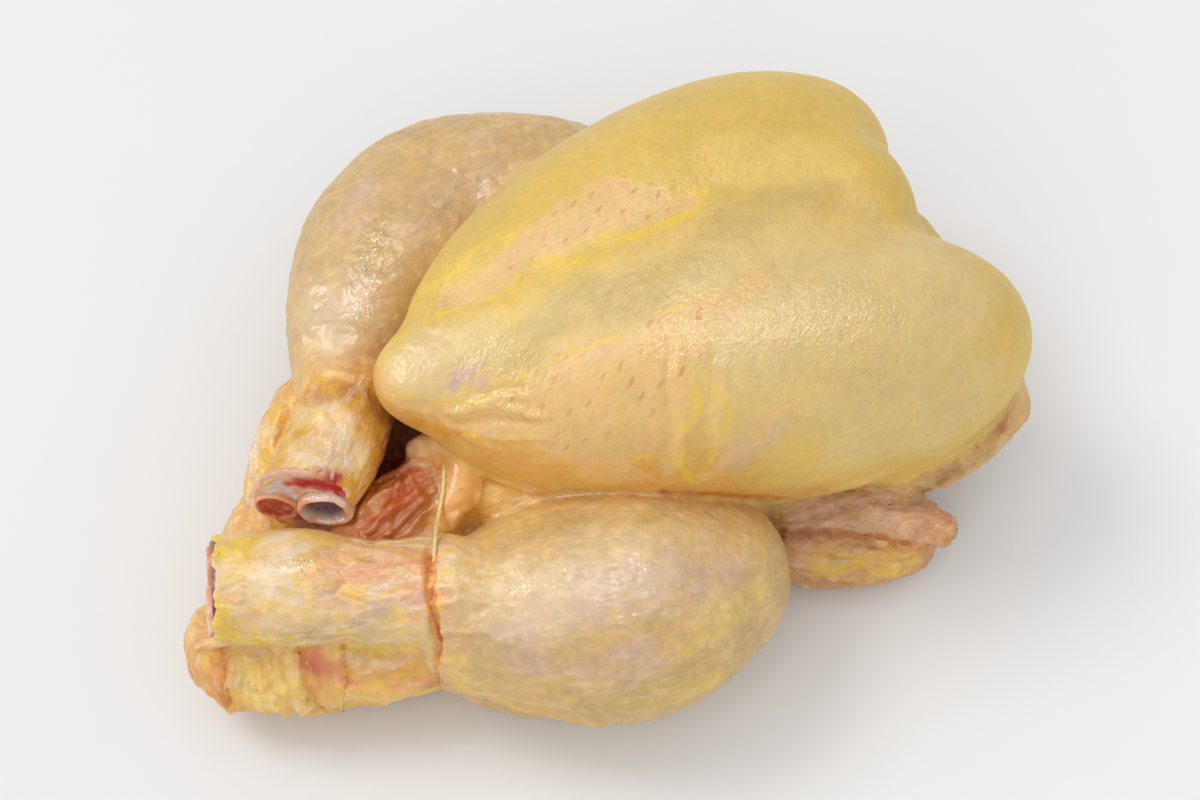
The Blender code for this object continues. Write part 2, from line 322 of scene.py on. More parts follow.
class Block:
    """Signed distances on a grid of places, negative inside the flesh."""

    def __init__(self, low, high, step):
        self.step = step
        self.low = np.array(low, float)
        counts = np.ceil((np.array(high) - self.low) / step).astype(int) + 1
        self.axes = [(self.low[i] + step * np.arange(counts[i])).astype(np.float32) for i in range(3)]
        self.distance = np.full(tuple(counts), FAR, np.float32)

    def window(self, lump):
        """The slices of the block round a lump, and the places along its three axes."""
        counts = np.array(self.distance.shape)
        first = np.floor((lump.low - WINDOW_MARGIN - self.low) / self.step).astype(int)
        last = np.ceil((lump.high + WINDOW_MARGIN - self.low) / self.step).astype(int) + 1
        first, last = np.clip(first, 0, counts - 1), np.clip(last, 1, counts)
        cut = tuple(slice(int(a), int(b)) for a, b in zip(first, last))
        x = self.axes[0][cut[0]][:, None, None]
        y = self.axes[1][cut[1]][None, :, None]
        z = self.axes[2][cut[2]][None, None, :]
        return cut, x, y, z

    def join(self, lump, softness, carved=False):
        """Adds a lump to the flesh, or carves it out."""
        cut, x, y, z = self.window(lump)
        found = lump.distance(x, y, z).astype(np.float32)
        if carved:
            self.distance[cut] = soft_max(self.distance[cut], -found, softness)
        else:
            self.distance[cut] = soft_min(self.distance[cut], found, softness)

    def rest_on_floor(self, softness):
        self.distance = soft_max(self.distance, -self.axes[2][None, None, :], softness)

    def at(self, points):
        """The distance at each place, from the eight grid places round it."""
        spot = (points - self.low) / self.step
        base = np.clip(np.floor(spot).astype(int), 0, np.array(self.distance.shape) - 2)
        part = np.clip(spot - base, 0, 1)
        total = np.zeros(len(points))
        for corner in itertools.product((0, 1), repeat=3):
            weight = np.prod(np.where(corner, part, 1 - part), axis=1)
            place = base + np.array(corner)
            total += weight * self.distance[place[:, 0], place[:, 1], place[:, 2]]
        return total

    def settle(self, points, steps=5):
        """The points moved onto the surface, each down the slope of the distance."""
        points = np.array(points, float)
        for _ in range(steps):
            ahead = [self.at(points + step) - self.at(points - step) for step in np.eye(3)]
            slope = np.stack(ahead, 1) / 2
            steepness = (slope**2).sum(1) + 1e-6
            points -= (self.at(points) / steepness)[:, None] * slope
        return points

    def surface(self):
        """The points and the four-sided faces of the surface, which face outwards."""
        grid = openvdb.FloatGrid()
        grid.copyFromArray(self.distance)
        points, quads = grid.convertToQuads(isovalue=0.0)
        return points * self.step + self.low, quads[:, ::-1]


def make_lumps():
    """Every lump of the bird by name, in the order in which they join the carcass."""
    breast = [(egg(shape), soft) for shape, soft in zip(BREAST_EGGS, (0, 14, 4, 8))]
    tail = [(limb(TAIL), 0), (egg(TAIL_TIP_EGG), 5), (egg(TAIL_ROOT_EGG), 8)]
    left_wing = [(limb(LEFT_WING), 0), (limb(LEFT_WING_RIDGE), 4), (limb(LEFT_WING_KNOB), 2)]
    return {
        "carcass": blended([(egg(CARCASS_EGGS[0]), 0), (egg(CARCASS_EGGS[1]), 14)]),
        "flank": blended([(limb(FLANK), 0), (limb(FLANK_FOLD), 6)]),
        "recess": egg(RECESS_EGG),
        "vent_flap": limb(VENT_FLAP),
        "breast": blended(breast + [(limb(KEEL), 10)]),
        "neck": blended([(limb(NECK_SKIN), 0), (egg(NECK_EGG), 10)]),
        "left_leg": limb(LEFT_LEG),
        "left_leg_fold": limb(LEFT_LEG_FOLD),
        "right_leg": limb(RIGHT_LEG),
        "back_skin_fold": limb(BACK_SKIN_FOLD),
        "thigh_flap": limb(THIGH_FLAP),
        "tail": blended(tail),
        "right_shank": limb(RIGHT_SHANK),
        "left_shank": limb(LEFT_SHANK),
        "vent_loop": limb(VENT_LOOP),
        "left_wing": blended(left_wing),
        "right_wing": blended([(limb(RIGHT_WING), 0), (limb(RIGHT_WING_RIDGE), 4)]),
    }


# How softly each lump joins those before it, in millimetres.
JOIN_SOFTNESS = {
    "flank": 5,
    "vent_flap": 1.5,
    "breast": 4,
    "neck": 14,
    "tail": 3,
    "right_shank": 1.5,
    "vent_loop": 3,
}
PLAIN_JOIN = 2
RECESS_SOFTNESS = 3
GROOVE_SOFTNESS = 0.8
FLOOR_SOFTNESS = 3


def bare_thread():
    """The line of the thread where it lies on top of the skin, as a lump."""
    return limb([(*point, 0) for point in THREAD_ROUTE[BARE_THREAD]], steps=3)


def sculpt(lumps):
    """The block of flesh, with the vent's recess and the cut hocks."""
    block = Block(BLOCK_LOW, BLOCK_HIGH, VOXEL)
    for name, lump in lumps.items():
        if name == "recess":
            block.join(lump, RECESS_SOFTNESS, carved=True)
            continue
        hock = {"right_shank": RIGHT_HOCK, "left_shank": LEFT_HOCK}.get(name)
        block.join(cut_off(lump, hock) if hock else lump, JOIN_SOFTNESS.get(name, PLAIN_JOIN))
        if hock:
            block.join(hock_socket(lump, hock), SOCKET_SOFTNESS, carved=True)
    for radius, path in GROOVES:
        block.join(thin_line(path, block, radius), GROOVE_SOFTNESS, carved=True)
    block.rest_on_floor(FLOOR_SOFTNESS)
    return block


# ---------------------------------------------------------------- noise


def lattice_value(spots, salt):
    """A number from -1 to 1 for each whole-numbered place, the same on every run."""
    hashed = spots.astype(np.uint64) * np.array([73856093, 19349663, 83492791], np.uint64)
    hashed = (hashed[:, 0] ^ hashed[:, 1] ^ hashed[:, 2]) + np.uint64(salt * 2654435761 + 1)
    for shift, factor in ((15, 2246822519), (13, 3266489917)):
        hashed = (hashed ^ (hashed >> np.uint64(shift))) * np.uint64(factor)
        hashed &= np.uint64(0xFFFFFFFF)
    return (hashed ^ (hashed >> np.uint64(16))) / 2147483648.0 - 1


def noise(points, size, salt=0):
    """Smooth noise, about -1 to 1. Size is one distance or three, between its bumps."""
    spot = points / np.asarray(size, float) + 500.5
    base = np.floor(spot)
    part = spot - base
    fade = part**3 * (part * (part * 6 - 15) + 10)
    total = np.zeros(len(points))
    for corner in itertools.product((0, 1), repeat=3):
        place = base + corner
        towards = part - corner
        slope = sum(lattice_value(place, salt * 3 + axis) * towards[:, axis] for axis in range(3))
        total += slope * np.prod(np.where(corner, fade, 1 - fade), axis=1)
    return total * 1.7


def cells(points, size, salt=0):
    """The distance to the nearest of many scattered places, in sizes, and its own number."""
    spot = points / np.asarray(size, float) + 500.5
    base = np.floor(spot)
    nearest = np.full(len(points), 9.0)
    number = np.zeros(len(points))
    for corner in itertools.product((-1, 0, 1), repeat=3):
        place = base + corner
        jitter = [0.5 + 0.42 * lattice_value(place, salt * 5 + axis) for axis in range(3)]
        gap = np.sqrt(((place + np.stack(jitter, 1) - spot) ** 2).sum(1))
        closer = gap < nearest
        number = np.where(closer, lattice_value(place, salt * 5 + 4), number)
        nearest = np.where(closer, gap, nearest)
    return nearest, number


def wander(points, amount, size, salt=0):
    """The places moved about a little, so that what is drawn by distance has a live edge."""
    moved = [noise(points, size, salt + 40 + axis) for axis in range(3)]
    return points + amount * np.stack(moved, 1)


def thin_line(path, block=None, radius=0.0):
    """A smooth line or tube through the path's points, laid on the block's surface if given."""
    places = np.array(path, float)
    if len(places) > 1:
        places = smooth_path(places, 4)
    if block:
        places = block.settle(places)
    if len(places) == 1:
        places = np.vstack([places, places + 0.01])
    return limb([(*place, radius) for place in places], steps=1)


def near_line(points, line, reach):
    """Which of the places may be within reach of the line, and how far from it they are."""
    inside = ((points > line.low - reach) & (points < line.high + reach)).all(1)
    return inside, line.at(points[inside])


# ---------------------------------------------------------------- folds in the skin

# Lines that grooves, folds or patches of colour share.
TAIL_ROOT_VALLEY = [(-103, -40, 39), (-106, -48, 35), (-106, -54, 30), (-104, -58, 20)]
TAIL_TIP_VALLEY = [(-125, -36, 41), (-128, -42, 34), (-129, -46, 24)]
TAIL_FLAP_VALLEY = [(-93, -48, 38), (-94, -54, 33), (-98, -58, 25), (-99, -60, 16)]
TAIL_END = [(-133, -36, 34), (-133, -40, 26), (-130, -42, 18)]
WING_FOLD = [(46, -61, 31), (56, -65, 30), (68, -70, 27), (78, -74, 22)]
NECK_ROLL = [(112, -37, 28), (125, -14, 31), (129, 8, 31), (120, 32, 28)]
HIGH_THREAD_CREASE = [(-62, -42, 64), (-65, -50, 64), (-67, -57, 59), (-68, -64, 49), (-69, -66, 37)]
LOW_THREAD_CREASE = [(-69, -66, 37), (-67, -64, 24), (-64, -58, 12)]

# Grooves are cut into the flesh: their radius and the line that they follow.
GROOVES = [
    # between the left shank and its leg, where the thread lies deep
    (1.7, [(-61, -40, 64), (-65, -50, 64), (-67, -57, 59), (-68.5, -64, 49), (-69, -66, 37)]),
    (1.7, LOW_THREAD_CREASE),
    # between the lobes of the tail
    (2.0, TAIL_ROOT_VALLEY),
    (2.0, TAIL_TIP_VALLEY),
    (1.4, TAIL_FLAP_VALLEY),
    # the left wing's fold
    (1.8, WING_FOLD),
]

# Each fold is its height, half its width and the line it follows. A negative height is a
# crease.
FOLDS = [
    # the neck's skin, rolled under at the end
    (2.2, 5.0, [(112, -36, 34), (125, -14, 38), (129, 8, 38), (120, 32, 34)]),
    (-1.6, 2.0, NECK_ROLL),
    (1.0, 2.6, [(110, -34, 18), (122, -12, 20), (124, 10, 20), (114, 30, 18)]),
    (-1.0, 1.8, [(128, 2, 30), (127, 3, 18), (118, 4, 8)]),
    # the valleys round the tail's lobes
    (-1.0, 3.6, TAIL_ROOT_VALLEY),
    (-1.0, 3.4, TAIL_TIP_VALLEY),
    (-0.8, 2.8, TAIL_FLAP_VALLEY),
    # the keel's line, and the fine creases that run down from it over the left leg
    (0.5, 5, [(-57, 6, 87), (-29, 0, 102), (6, -3, 112), (47, -1, 116), (84, -3, 111)]),
    (0.7, 1.2, [(18, -26, 110), (14, -34, 104), (12, -42, 96), (9, -48, 80)]),
    (-0.7, 1.3, [(21, -27, 110), (17, -36, 104), (15, -44, 94), (12, -50, 78)]),
    (0.7, 1.2, [(28, -34, 107), (24, -42, 100), (19, -49, 86), (16, -52, 74)]),
    (-0.6, 1.3, [(31, -36, 106), (27, -45, 98), (22, -52, 82)]),
    (0.5, 1.1, [(24, -37, 105), (21, -44, 98), (16, -50, 82)]),
    (-0.5, 1.3, [(9, -36, 101), (8, -42, 95), (4, -47, 80)]),
    (-0.9, 1.3, [(-46, -13, 86), (-38, -16, 90), (-28, -20, 92), (-18, -26, 92)]),
    (0.9, 1.4, [(-44, -15, 82), (-34, -20, 88), (-22, -26, 90)]),
    (-0.7, 1.2, [(-38, -14, 91), (-30, -17, 94), (-22, -20, 96)]),
    (0.7, 1.2, [(-36, -13, 92), (-29, -15, 96), (-24, -17, 97)]),
    (-0.6, 1.1, [(-40, -20, 82), (-30, -26, 85), (-20, -31, 87)]),
    (-0.5, 1.1, [(-50, -8, 84), (-42, -17, 80), (-34, -24, 79)]),
    (-0.5, 1.2, [(-48, 12, 92), (-44, 6, 94), (-41, -2, 95)]),
    (0.5, 1.2, [(-44, 14, 93), (-40, 8, 96), (-37, 1, 98)]),
    # where the breast skin runs down to the neck
    (-0.5, 3.0, [(104, -44, 70), (96, -56, 58), (84, -60, 48)]),
    (-0.5, 2.6, [(92, -50, 76), (78, -58, 62), (66, -60, 54)]),
    (0.5, 2.0, [(66, -58, 60), (56, -60, 56), (48, -58, 52)]),
    (-1.3, 1.8, [(90, -62, 32), (98, -62, 38), (107, -60, 41), (118, -56, 44)]),
    (1.2, 2.0, [(92, -62, 30), (102, -61, 36), (114, -58, 39)]),
    # the left leg's crease at the thread, and the fold under it
    (-1.6, 2.0, [(-69, -66, 42), (-62, -69, 22), (-51, -81, 30), (-41, -90, 32), (-31, -96, 31)]),
    (1.0, 2.6, [(-60, -74, 28), (-50, -84, 27), (-36, -94, 26), (-22, -98, 26)]),
    (-0.9, 1.2, [(-65, -56, 62), (-57, -60, 66), (-48, -66, 67)]),
    (-0.8, 1.2, [(-66, -62, 54), (-58, -67, 59), (-50, -74, 60)]),
    (-0.8, 1.2, [(-67, -66, 46), (-59, -73, 50), (-50, -81, 52)]),
    (-0.8, 1.2, [(-66, -68, 37), (-58, -78, 40), (-48, -87, 43)]),
    # the right leg's folds at the hock
    (-1.3, 1.5, [(-72, 31, 67), (-70, 22, 72), (-64, 17, 72), (-58, 15, 71)]),
    (0.8, 1.8, [(-71, 38, 65), (-66, 28, 69), (-60, 22, 71)]),
    (-0.7, 1.5, [(-72, 45, 60), (-69, 40, 65), (-62, 36, 69), (-57, 32, 71)]),
    (-0.5, 1.5, [(-69, 56, 56), (-62, 52, 64), (-56, 46, 70)]),
    # the lobes of the tail and the fan of folds between them
    (-1.4, 2.6, [(-104, -42, 38), (-106, -48, 35), (-106, -54, 30), (-104, -58, 20)]),
    (-1.6, 1.5, [(-111, -42, 38), (-113, -48, 33), (-111, -55, 24), (-107, -58, 15)]),
    (-1.3, 1.4, [(-108, -44, 37), (-110, -50, 32), (-109, -56, 22)]),
    (-1.6, 1.6, [(-119, -42, 38), (-118, -48, 32), (-114, -54, 20)]),
    (-1.4, 2.6, [(-126, -37, 41), (-128, -42, 34), (-129, -46, 24)]),
    (1.6, 4.5, [(-101, -49, 35), (-98, -52, 32)]),
    (-1.8, 1.5, TAIL_FLAP_VALLEY),
    (1.2, 4.5, [(-86, -53, 38), (-76, -58, 38)]),
    (-1.1, 1.5, [(-93, -57, 29), (-84, -61, 27), (-76, -63, 26), (-69, -64, 27)]),
    (1.0, 3.5, [(-90, -60, 20), (-80, -63, 18)]),
    (-0.8, 1.2, [(-99, -56, 24), (-92, -61, 18), (-86, -63, 12)]),
    (-0.7, 1.2, [(-121, -46, 34), (-120, -50, 28), (-121, -51, 20)]),
    # wrinkles that fan out over the vent's flap from its loop
    (-1.5, 1.1, [(-52, -7, 56), (-60, -7, 56), (-69, -9, 52)]),
    (-1.7, 1.2, [(-50, -12, 57), (-60, -13, 56), (-71, -16, 51)]),
    (-1.7, 1.2, [(-51, -15, 57), (-61, -18, 55), (-75, -22, 49)]),
    (-1.5, 1.1, [(-53, -18, 56), (-62, -22, 53), (-77, -27, 49)]),
    (-1.3, 1.1, [(-54, -22, 55), (-62, -26, 51), (-72, -30, 49)]),
    (-1.2, 1.0, [(-62, -13, 55), (-66, -19, 53), (-70, -24, 50)]),
    (-1.0, 1.0, [(-56, -10, 56), (-58, -16, 55), (-57, -21, 54)]),
    (-1.1, 1.0, [(-70, -12, 52), (-74, -18, 49), (-79, -24, 46)]),
    (1.1, 1.8, [(-78, -31, 60), (-67, -29, 56), (-56, -27, 55), (-47, -28, 56)]),
    (-1.2, 1.4, [(-50, -32, 58), (-44, -27, 55), (-38, -22, 54)]),
    (-0.8, 1.6, [(-40, -39, 64), (-32, -36, 60), (-26, -30, 55)]),
    (-0.8, 1.2, [(-36, -18, 56), (-28, -27, 58), (-20, -36, 62)]),
    # the strip of skin behind the right hock
    (-1.6, 1.4, [(-86, 24, 56), (-92, 16, 54), (-97, 8, 52), (-100, -2, 50)]),
    (-0.9, 1.4, [(-91, 27, 50), (-98, 18, 46), (-104, 6, 40)]),
    # the right shank's knuckle and knob
    (2.0, 4.6, [(-74, -4, 72), (-71, -6, 71)]),
    (0.9, 4.5, [(-84, 6, 73), (-80, 0, 75)]),
    (-0.7, 1.3, [(-84, 18, 68), (-78, 10, 74), (-76, 2, 75)]),
    # the left shank's lumps and creases
    (0.9, 5.0, [(-99, -20, 62), (-95, -24, 65)]),
    (-0.6, 2.2, [(-90, -26, 64), (-84, -34, 66), (-80, -42, 65)]),
    (-0.7, 1.6, [(-106, -46, 52), (-94, -51, 53), (-80, -55, 55)]),
    (-0.6, 1.4, [(-84, -52, 57), (-76, -56, 58), (-68, -60, 57)]),
    (0.8, 2.0, [(-118, -14, 62), (-119, -24, 65), (-121, -34, 60), (-122, -40, 52)]),
    (-0.5, 1.5, [(-74, -36, 65), (-68, -44, 66), (-64, -52, 65)]),
    # the fold along the left wing
    (-1.6, 2.2, WING_FOLD),
    (1.0, 2.4, [(48, -58, 33), (60, -60, 34), (74, -62, 32), (84, -64, 30)]),
    (-0.9, 1.4, [(48, -68, 19), (60, -75, 16), (74, -77, 14)]),
    (0.8, 1.6, [(50, -69, 24), (62, -73, 21), (75, -76, 18)]),
    (-0.8, 1.2, [(58, -58, 35), (63, -63, 32), (66, -68, 28)]),
    (-0.8, 1.2, [(70, -60, 33), (73, -66, 30), (74, -72, 25)]),
    # the same on the right wing
    (-2.6, 1.8, [(43, 66, 31), (56, 70, 29), (70, 73, 24), (84, 76, 18)]),
    (0.9, 2.2, [(46, 62, 36), (62, 66, 35), (78, 70, 31)]),
    (-0.8, 1.3, [(50, 74, 16), (64, 78, 16), (78, 79, 13)]),
]

# Where the skin is wrinkled lengthwise: the way the wrinkles run, and how deep they are.
WRINKLES = {
    "left_shank": ((-0.91, 0.41, -0.03), 0.50),
    "right_shank": ((-0.66, -0.75, 0.05), 0.38),
    "tail": ((-0.35, -0.45, -0.82), 0.70),
    "thigh_flap": ((-0.95, 0.2, 0.1), 0.45),
    "vent_flap": ((-0.9, -0.35, -0.2), 0.5),
    "back_skin_fold": ((-0.5, -0.8, -0.4), 0.55),
    "left_wing": ((0.93, -0.32, -0.1), 0.75),
    "right_wing": ((0.93, 0.32, -0.1), 0.75),
    "flank": ((0.8, -0.5, 0.2), 0.30),
    "neck": ((0.2, 0.9, -0.3), 0.40),
    "left_leg_fold": ((0.8, -0.5, 0.1), 0.35),
    "carcass": ((0.3, 0.9, 0.0), 0.25),
    "left_leg": ((0.93, -0.37, 0.0), 0.20),
    "right_leg": ((0.97, 0.21, 0.0), 0.20),
    "breast": ((0.70, 0.50, 0.50), 0.08),
}

# The regions whose wrinkles are finer than elsewhere, and by how much.
FINER_WRINKLES = {"vent_flap": 0.6, "left_wing": 0.75, "right_wing": 0.75, "right_shank": 0.8}

# Goose bumps: their height, the way that they are longer, and how long and wide they are.
BUMPS = {
    "left_leg": (0.5, (0.75, -0.55, 0.3), 5.0, 3.6),
    "right_leg": (0.8, (0.14, -0.95, -0.3), 5.2, 3.1),
    "left_leg_fold": (0.25, (0.7, -0.6, 0.2), 4.6, 3.4),
    "carcass": (0.22, (0.5, 0.8, 0.0), 5.0, 3.8),
    "neck": (0.12, (0.2, 0.9, -0.3), 5.0, 3.8),
}
# How much longer than wide the finest grain is, and how strong its goose bumps are.
STRETCH = 2.1
GOOSEY = {"left_leg": 0.45, "right_leg": 0.5, "left_leg_fold": 0.4, "carcass": 0.3, "breast": 0.06}
# How far from smooth the broad shape is, in millimetres.
UNEVEN = {"breast": 0.35, "left_leg": 0.5, "right_leg": 0.5}
PLAIN_UNEVEN = 0.9
REGION_BLEND = 1.6
LEAST_SHARE = 0.02


def region_shares(points, lumps):
    """How much each lump has a share in each place of the skin, by name."""
    shares = {}
    for name, lump in lumps.items():
        if name != "recess":
            shares[name] = np.exp(-np.clip(lump.at(points), 0, 40) / REGION_BLEND)
    total = sum(shares.values()) + 1e-9
    return {name: share / total for name, share in shares.items()}


def mixed(shares, amounts, default=0.0):
    """An amount over the skin, from the amounts of its lumps."""
    return sum(share * amounts.get(name, default) for name, share in shares.items())


def along_axis(points, axis, long, short):
    """The places drawn together along an axis, so that noise on them runs along it."""
    axis = np.array(axis) / np.linalg.norm(axis)
    run = points @ axis
    return points / short + np.outer(run * (1 / long - 1 / short), axis)


def lengthwise(points, shares):
    """The places drawn together along the stretch of each region, and 0 at regions' borders."""
    known = np.stack([shares[name] for name in WRINKLES])
    strongest = known.argmax(0)
    least, most = np.sort(known, axis=0)[-2:]
    found = np.zeros_like(points)
    for index, (axis, _) in enumerate(WRINKLES.values()):
        here = strongest == index
        found[here] = along_axis(points[here], axis, STRETCH, 1.0)
    return found, smooth_step(most - least, 0.08, 0.5)


def wrinkle_relief(points, shares):
    """How far the lengthwise wrinkles raise each place."""
    total = np.zeros(len(points))
    for salt, (name, (axis, depth)) in enumerate(WRINKLES.items()):
        near = shares[name] > LEAST_SHARE
        if not near.any():
            continue
        spots = wander(points[near], 2.0, 9.0, salt)
        finer = FINER_WRINKLES.get(name, 1.0)
        folds = noise(along_axis(spots, axis, 15.0 * finer, 3.4 * finer), 1.0, salt)
        fine = noise(along_axis(spots, axis, 7.0 * finer, 1.7 * finer), 1.0, salt + 20)
        ridge = 0.6 - 2 * np.abs(folds)
        total[near] += shares[name][near] * depth * (ridge + 0.45 * fine)
    return total


def bump_relief(points, shares):
    """Goose bumps: how far they raise each place."""
    height = np.zeros(len(points))
    for salt, (name, (rise, axis, long, short)) in enumerate(BUMPS.items()):
        near = shares[name] > LEAST_SHARE
        if near.any():
            spots = wander(points[near], 1.2, 9.0, salt)
            gap, number = cells(along_axis(spots, axis, long, short), 1.0, 3)
            crown = smooth_step(gap, 0.46, 0.05) * (0.55 + 0.45 * number)
            crown *= smooth_step(noise(points[near], 24.0, 8), -0.6, 0.3) * shares[name][near]
            height[near] += rise * crown
    return height


def fold_relief(points, folds):
    """How far the folds raise each place, or sink it where they are creases."""
    spots = wander(points, 1.0, 6.0, 5)
    total = np.zeros(len(points))
    for height, half_width, line in folds:
        inside, gap = near_line(spots, line, half_width * 3)
        total[inside] += height * np.exp(-((gap / half_width) ** 2))
    return total


def uneven_relief(points, shares):
    """The broad unevenness of flesh under its skin."""
    amount = mixed(shares, UNEVEN, PLAIN_UNEVEN)
    return amount * (0.8 * noise(points, 24.0, 1) + 0.45 * noise(points, 10.0, 2))


def hock_reach(points, hock, out):
    """How far each place is from the middle line of a hock."""
    gap = ((points - np.array(hock[0])) ** 2).sum(1)
    return np.sqrt(np.maximum(gap - out * out, 0))


def socket_share(points):
    """1 down in the cut of a hock, where the skin lies flat, and 0 elsewhere."""
    total = np.zeros(len(points))
    for hock in (LEFT_HOCK, RIGHT_HOCK):
        out = plane_distance(hock, points[:, 0], points[:, 1], points[:, 2])
        inside = smooth_step(hock_reach(points, hock, out), HOCK_REACH, HOCK_REACH - 1.5)
        total += inside * smooth_step(out, -5, -3.5)
    return total


def rim_relief(points):
    """A ragged edge to the skin round each cut hock, as a move along the cut's facing."""
    moved = np.zeros_like(points)
    for salt, hock in enumerate((LEFT_HOCK, RIGHT_HOCK)):
        out = plane_distance(hock, points[:, 0], points[:, 1], points[:, 2])
        near = smooth_step(np.abs(out), 4.5, 0.5)
        near *= smooth_step(hock_reach(points, hock, out), HOCK_REACH - 3, HOCK_REACH)
        near *= smooth_step(np.linalg.norm(points - np.array(hock[0]), axis=1), 26, 22)
        rag = 1.7 * noise(points, 5.5, salt + 60) + 0.5 * noise(points, 3.0, salt + 62)
        moved += np.outer(near * rag, hock_normal(hock))
    return moved


def read_vectors(items, key):
    found = np.empty(len(items) * 3, np.float32)
    items.foreach_get(key, found)
    return found.reshape(-1, 3).astype(float)


def places_and_normals(mesh):
    return read_vectors(mesh.vertices, "co"), read_vectors(mesh.vertex_normals, "vector")


def move_vertices(mesh, points):
    mesh.vertices.foreach_set("co", np.asarray(points, np.float32).ravel())


def mesh_from(name, points, faces):
    mesh = bpy.data.meshes.new(name)
    mesh.from_pydata(np.asarray(points).tolist(), [], [list(face) for face in faces])
    mesh.update()
    return mesh


def grid_mesh(name, points, faces):
    """A mesh of many faces that all have the same number of corners."""
    count, corners = faces.shape
    mesh = bpy.data.meshes.new(name)
    mesh.vertices.add(len(points))
    move_vertices(mesh, points)
    mesh.loops.add(count * corners)
    mesh.loops.foreach_set("vertex_index", np.asarray(faces, np.int32).ravel())
    mesh.polygons.add(count)
    mesh.polygons.foreach_set("loop_start", np.arange(count, dtype=np.int32) * corners)
    mesh.update(calc_edges=True)
    mesh.validate()
    return mesh


def new_object(name, data):
    obj = bpy.data.objects.new(name, data)
    bpy.context.scene.collection.objects.link(obj)
    return obj


def apply_modifiers(obj):
    """Puts the evaluated shape into the object's own mesh and clears its modifiers."""
    graph = bpy.context.evaluated_depsgraph_get()
    shaped = bpy.data.meshes.new_from_object(obj.evaluated_get(graph))
    obj.modifiers.clear()
    obj.data = shaped


def add_values(mesh, name, values):
    """A number or a vector or a colour for each vertex, which a material can read."""
    values = np.asarray(values, np.float32)
    kind = "FLOAT" if values.ndim == 1 else {3: "FLOAT_VECTOR", 4: "FLOAT_COLOR"}[values.shape[1]]
    key = {"FLOAT": "value", "FLOAT_VECTOR": "vector", "FLOAT_COLOR": "color"}[kind]
    attribute = mesh.attributes.new(name, kind, "POINT")
    attribute.data.foreach_set(key, values.ravel())


def shade_smooth(obj):
    obj.data.polygons.foreach_set("use_smooth", [True] * len(obj.data.polygons))
    obj.data.update()


# ---------------------------------------------------------------- colours of the skin

# The light that wanders through the flesh warms every tone, and this makes up for it.
TONE_LIFT = (0.94, 0.925, 0.89)


def from_screen(red, green, blue):
    """A colour as the screen shows it, 0 to 255, as the renderer's linear one."""
    channels = np.array((red, green, blue)) / 255
    low = channels / 12.92
    return np.where(channels > 0.04045, ((channels + 0.055) / 1.055) ** 2.4, low) * TONE_LIFT


TONES = {
    "film": from_screen(230, 206, 108),
    "pale_film": from_screen(230, 214, 158),
    "cream": from_screen(243, 222, 175),
    "bare": from_screen(240, 210, 144),
    "bare_pink": from_screen(238, 202, 158),
    "leg": from_screen(216, 191, 138),
    "pink": from_screen(244, 182, 134),
    "rose": from_screen(228, 142, 116),
    "lilac": from_screen(214, 190, 184),
    "olive": from_screen(212, 192, 120),
    "yellow": from_screen(246, 220, 84),
    "fat": from_screen(248, 228, 142),
    "orange": from_screen(242, 190, 108),
    "tail": from_screen(244, 202, 124),
    "shank_yellow": from_screen(236, 190, 84),
    "flank": from_screen(222, 170, 70),
    "mark": from_screen(220, 158, 98),
    "rust": from_screen(200, 118, 54),
    "flap": from_screen(200, 96, 26),
    "brown": from_screen(160, 104, 50),
    "maroon": from_screen(176, 62, 40),
    "blood": from_screen(186, 22, 36),
    "white": from_screen(246, 236, 214),
    "wing": from_screen(212, 170, 124),
    "back": from_screen(224, 194, 138),
    "flesh": from_screen(226, 176, 152),
    "cartilage": from_screen(228, 218, 222),
    "granule": from_screen(236, 158, 122),
    "muscle": from_screen(200, 104, 80),
    "bone": from_screen(238, 214, 192),
    "hollow": from_screen(140, 108, 118),
    "marrow": from_screen(190, 80, 62),
    "thread": from_screen(240, 220, 166),
}

REGION_TONES = {
    "breast": "film",
    "left_leg": "leg",
    "right_leg": "leg",
    "left_leg_fold": "leg",
    "left_shank": "cream",
    "right_shank": "shank_yellow",
    "tail": "tail",
    "thigh_flap": "tail",
    "back_skin_fold": "orange",
    "vent_flap": "flap",
    "vent_loop": "orange",
    "flank": "flank",
    "left_wing": "wing",
    "right_wing": "wing",
    "neck": "back",
    "carcass": "back",
}

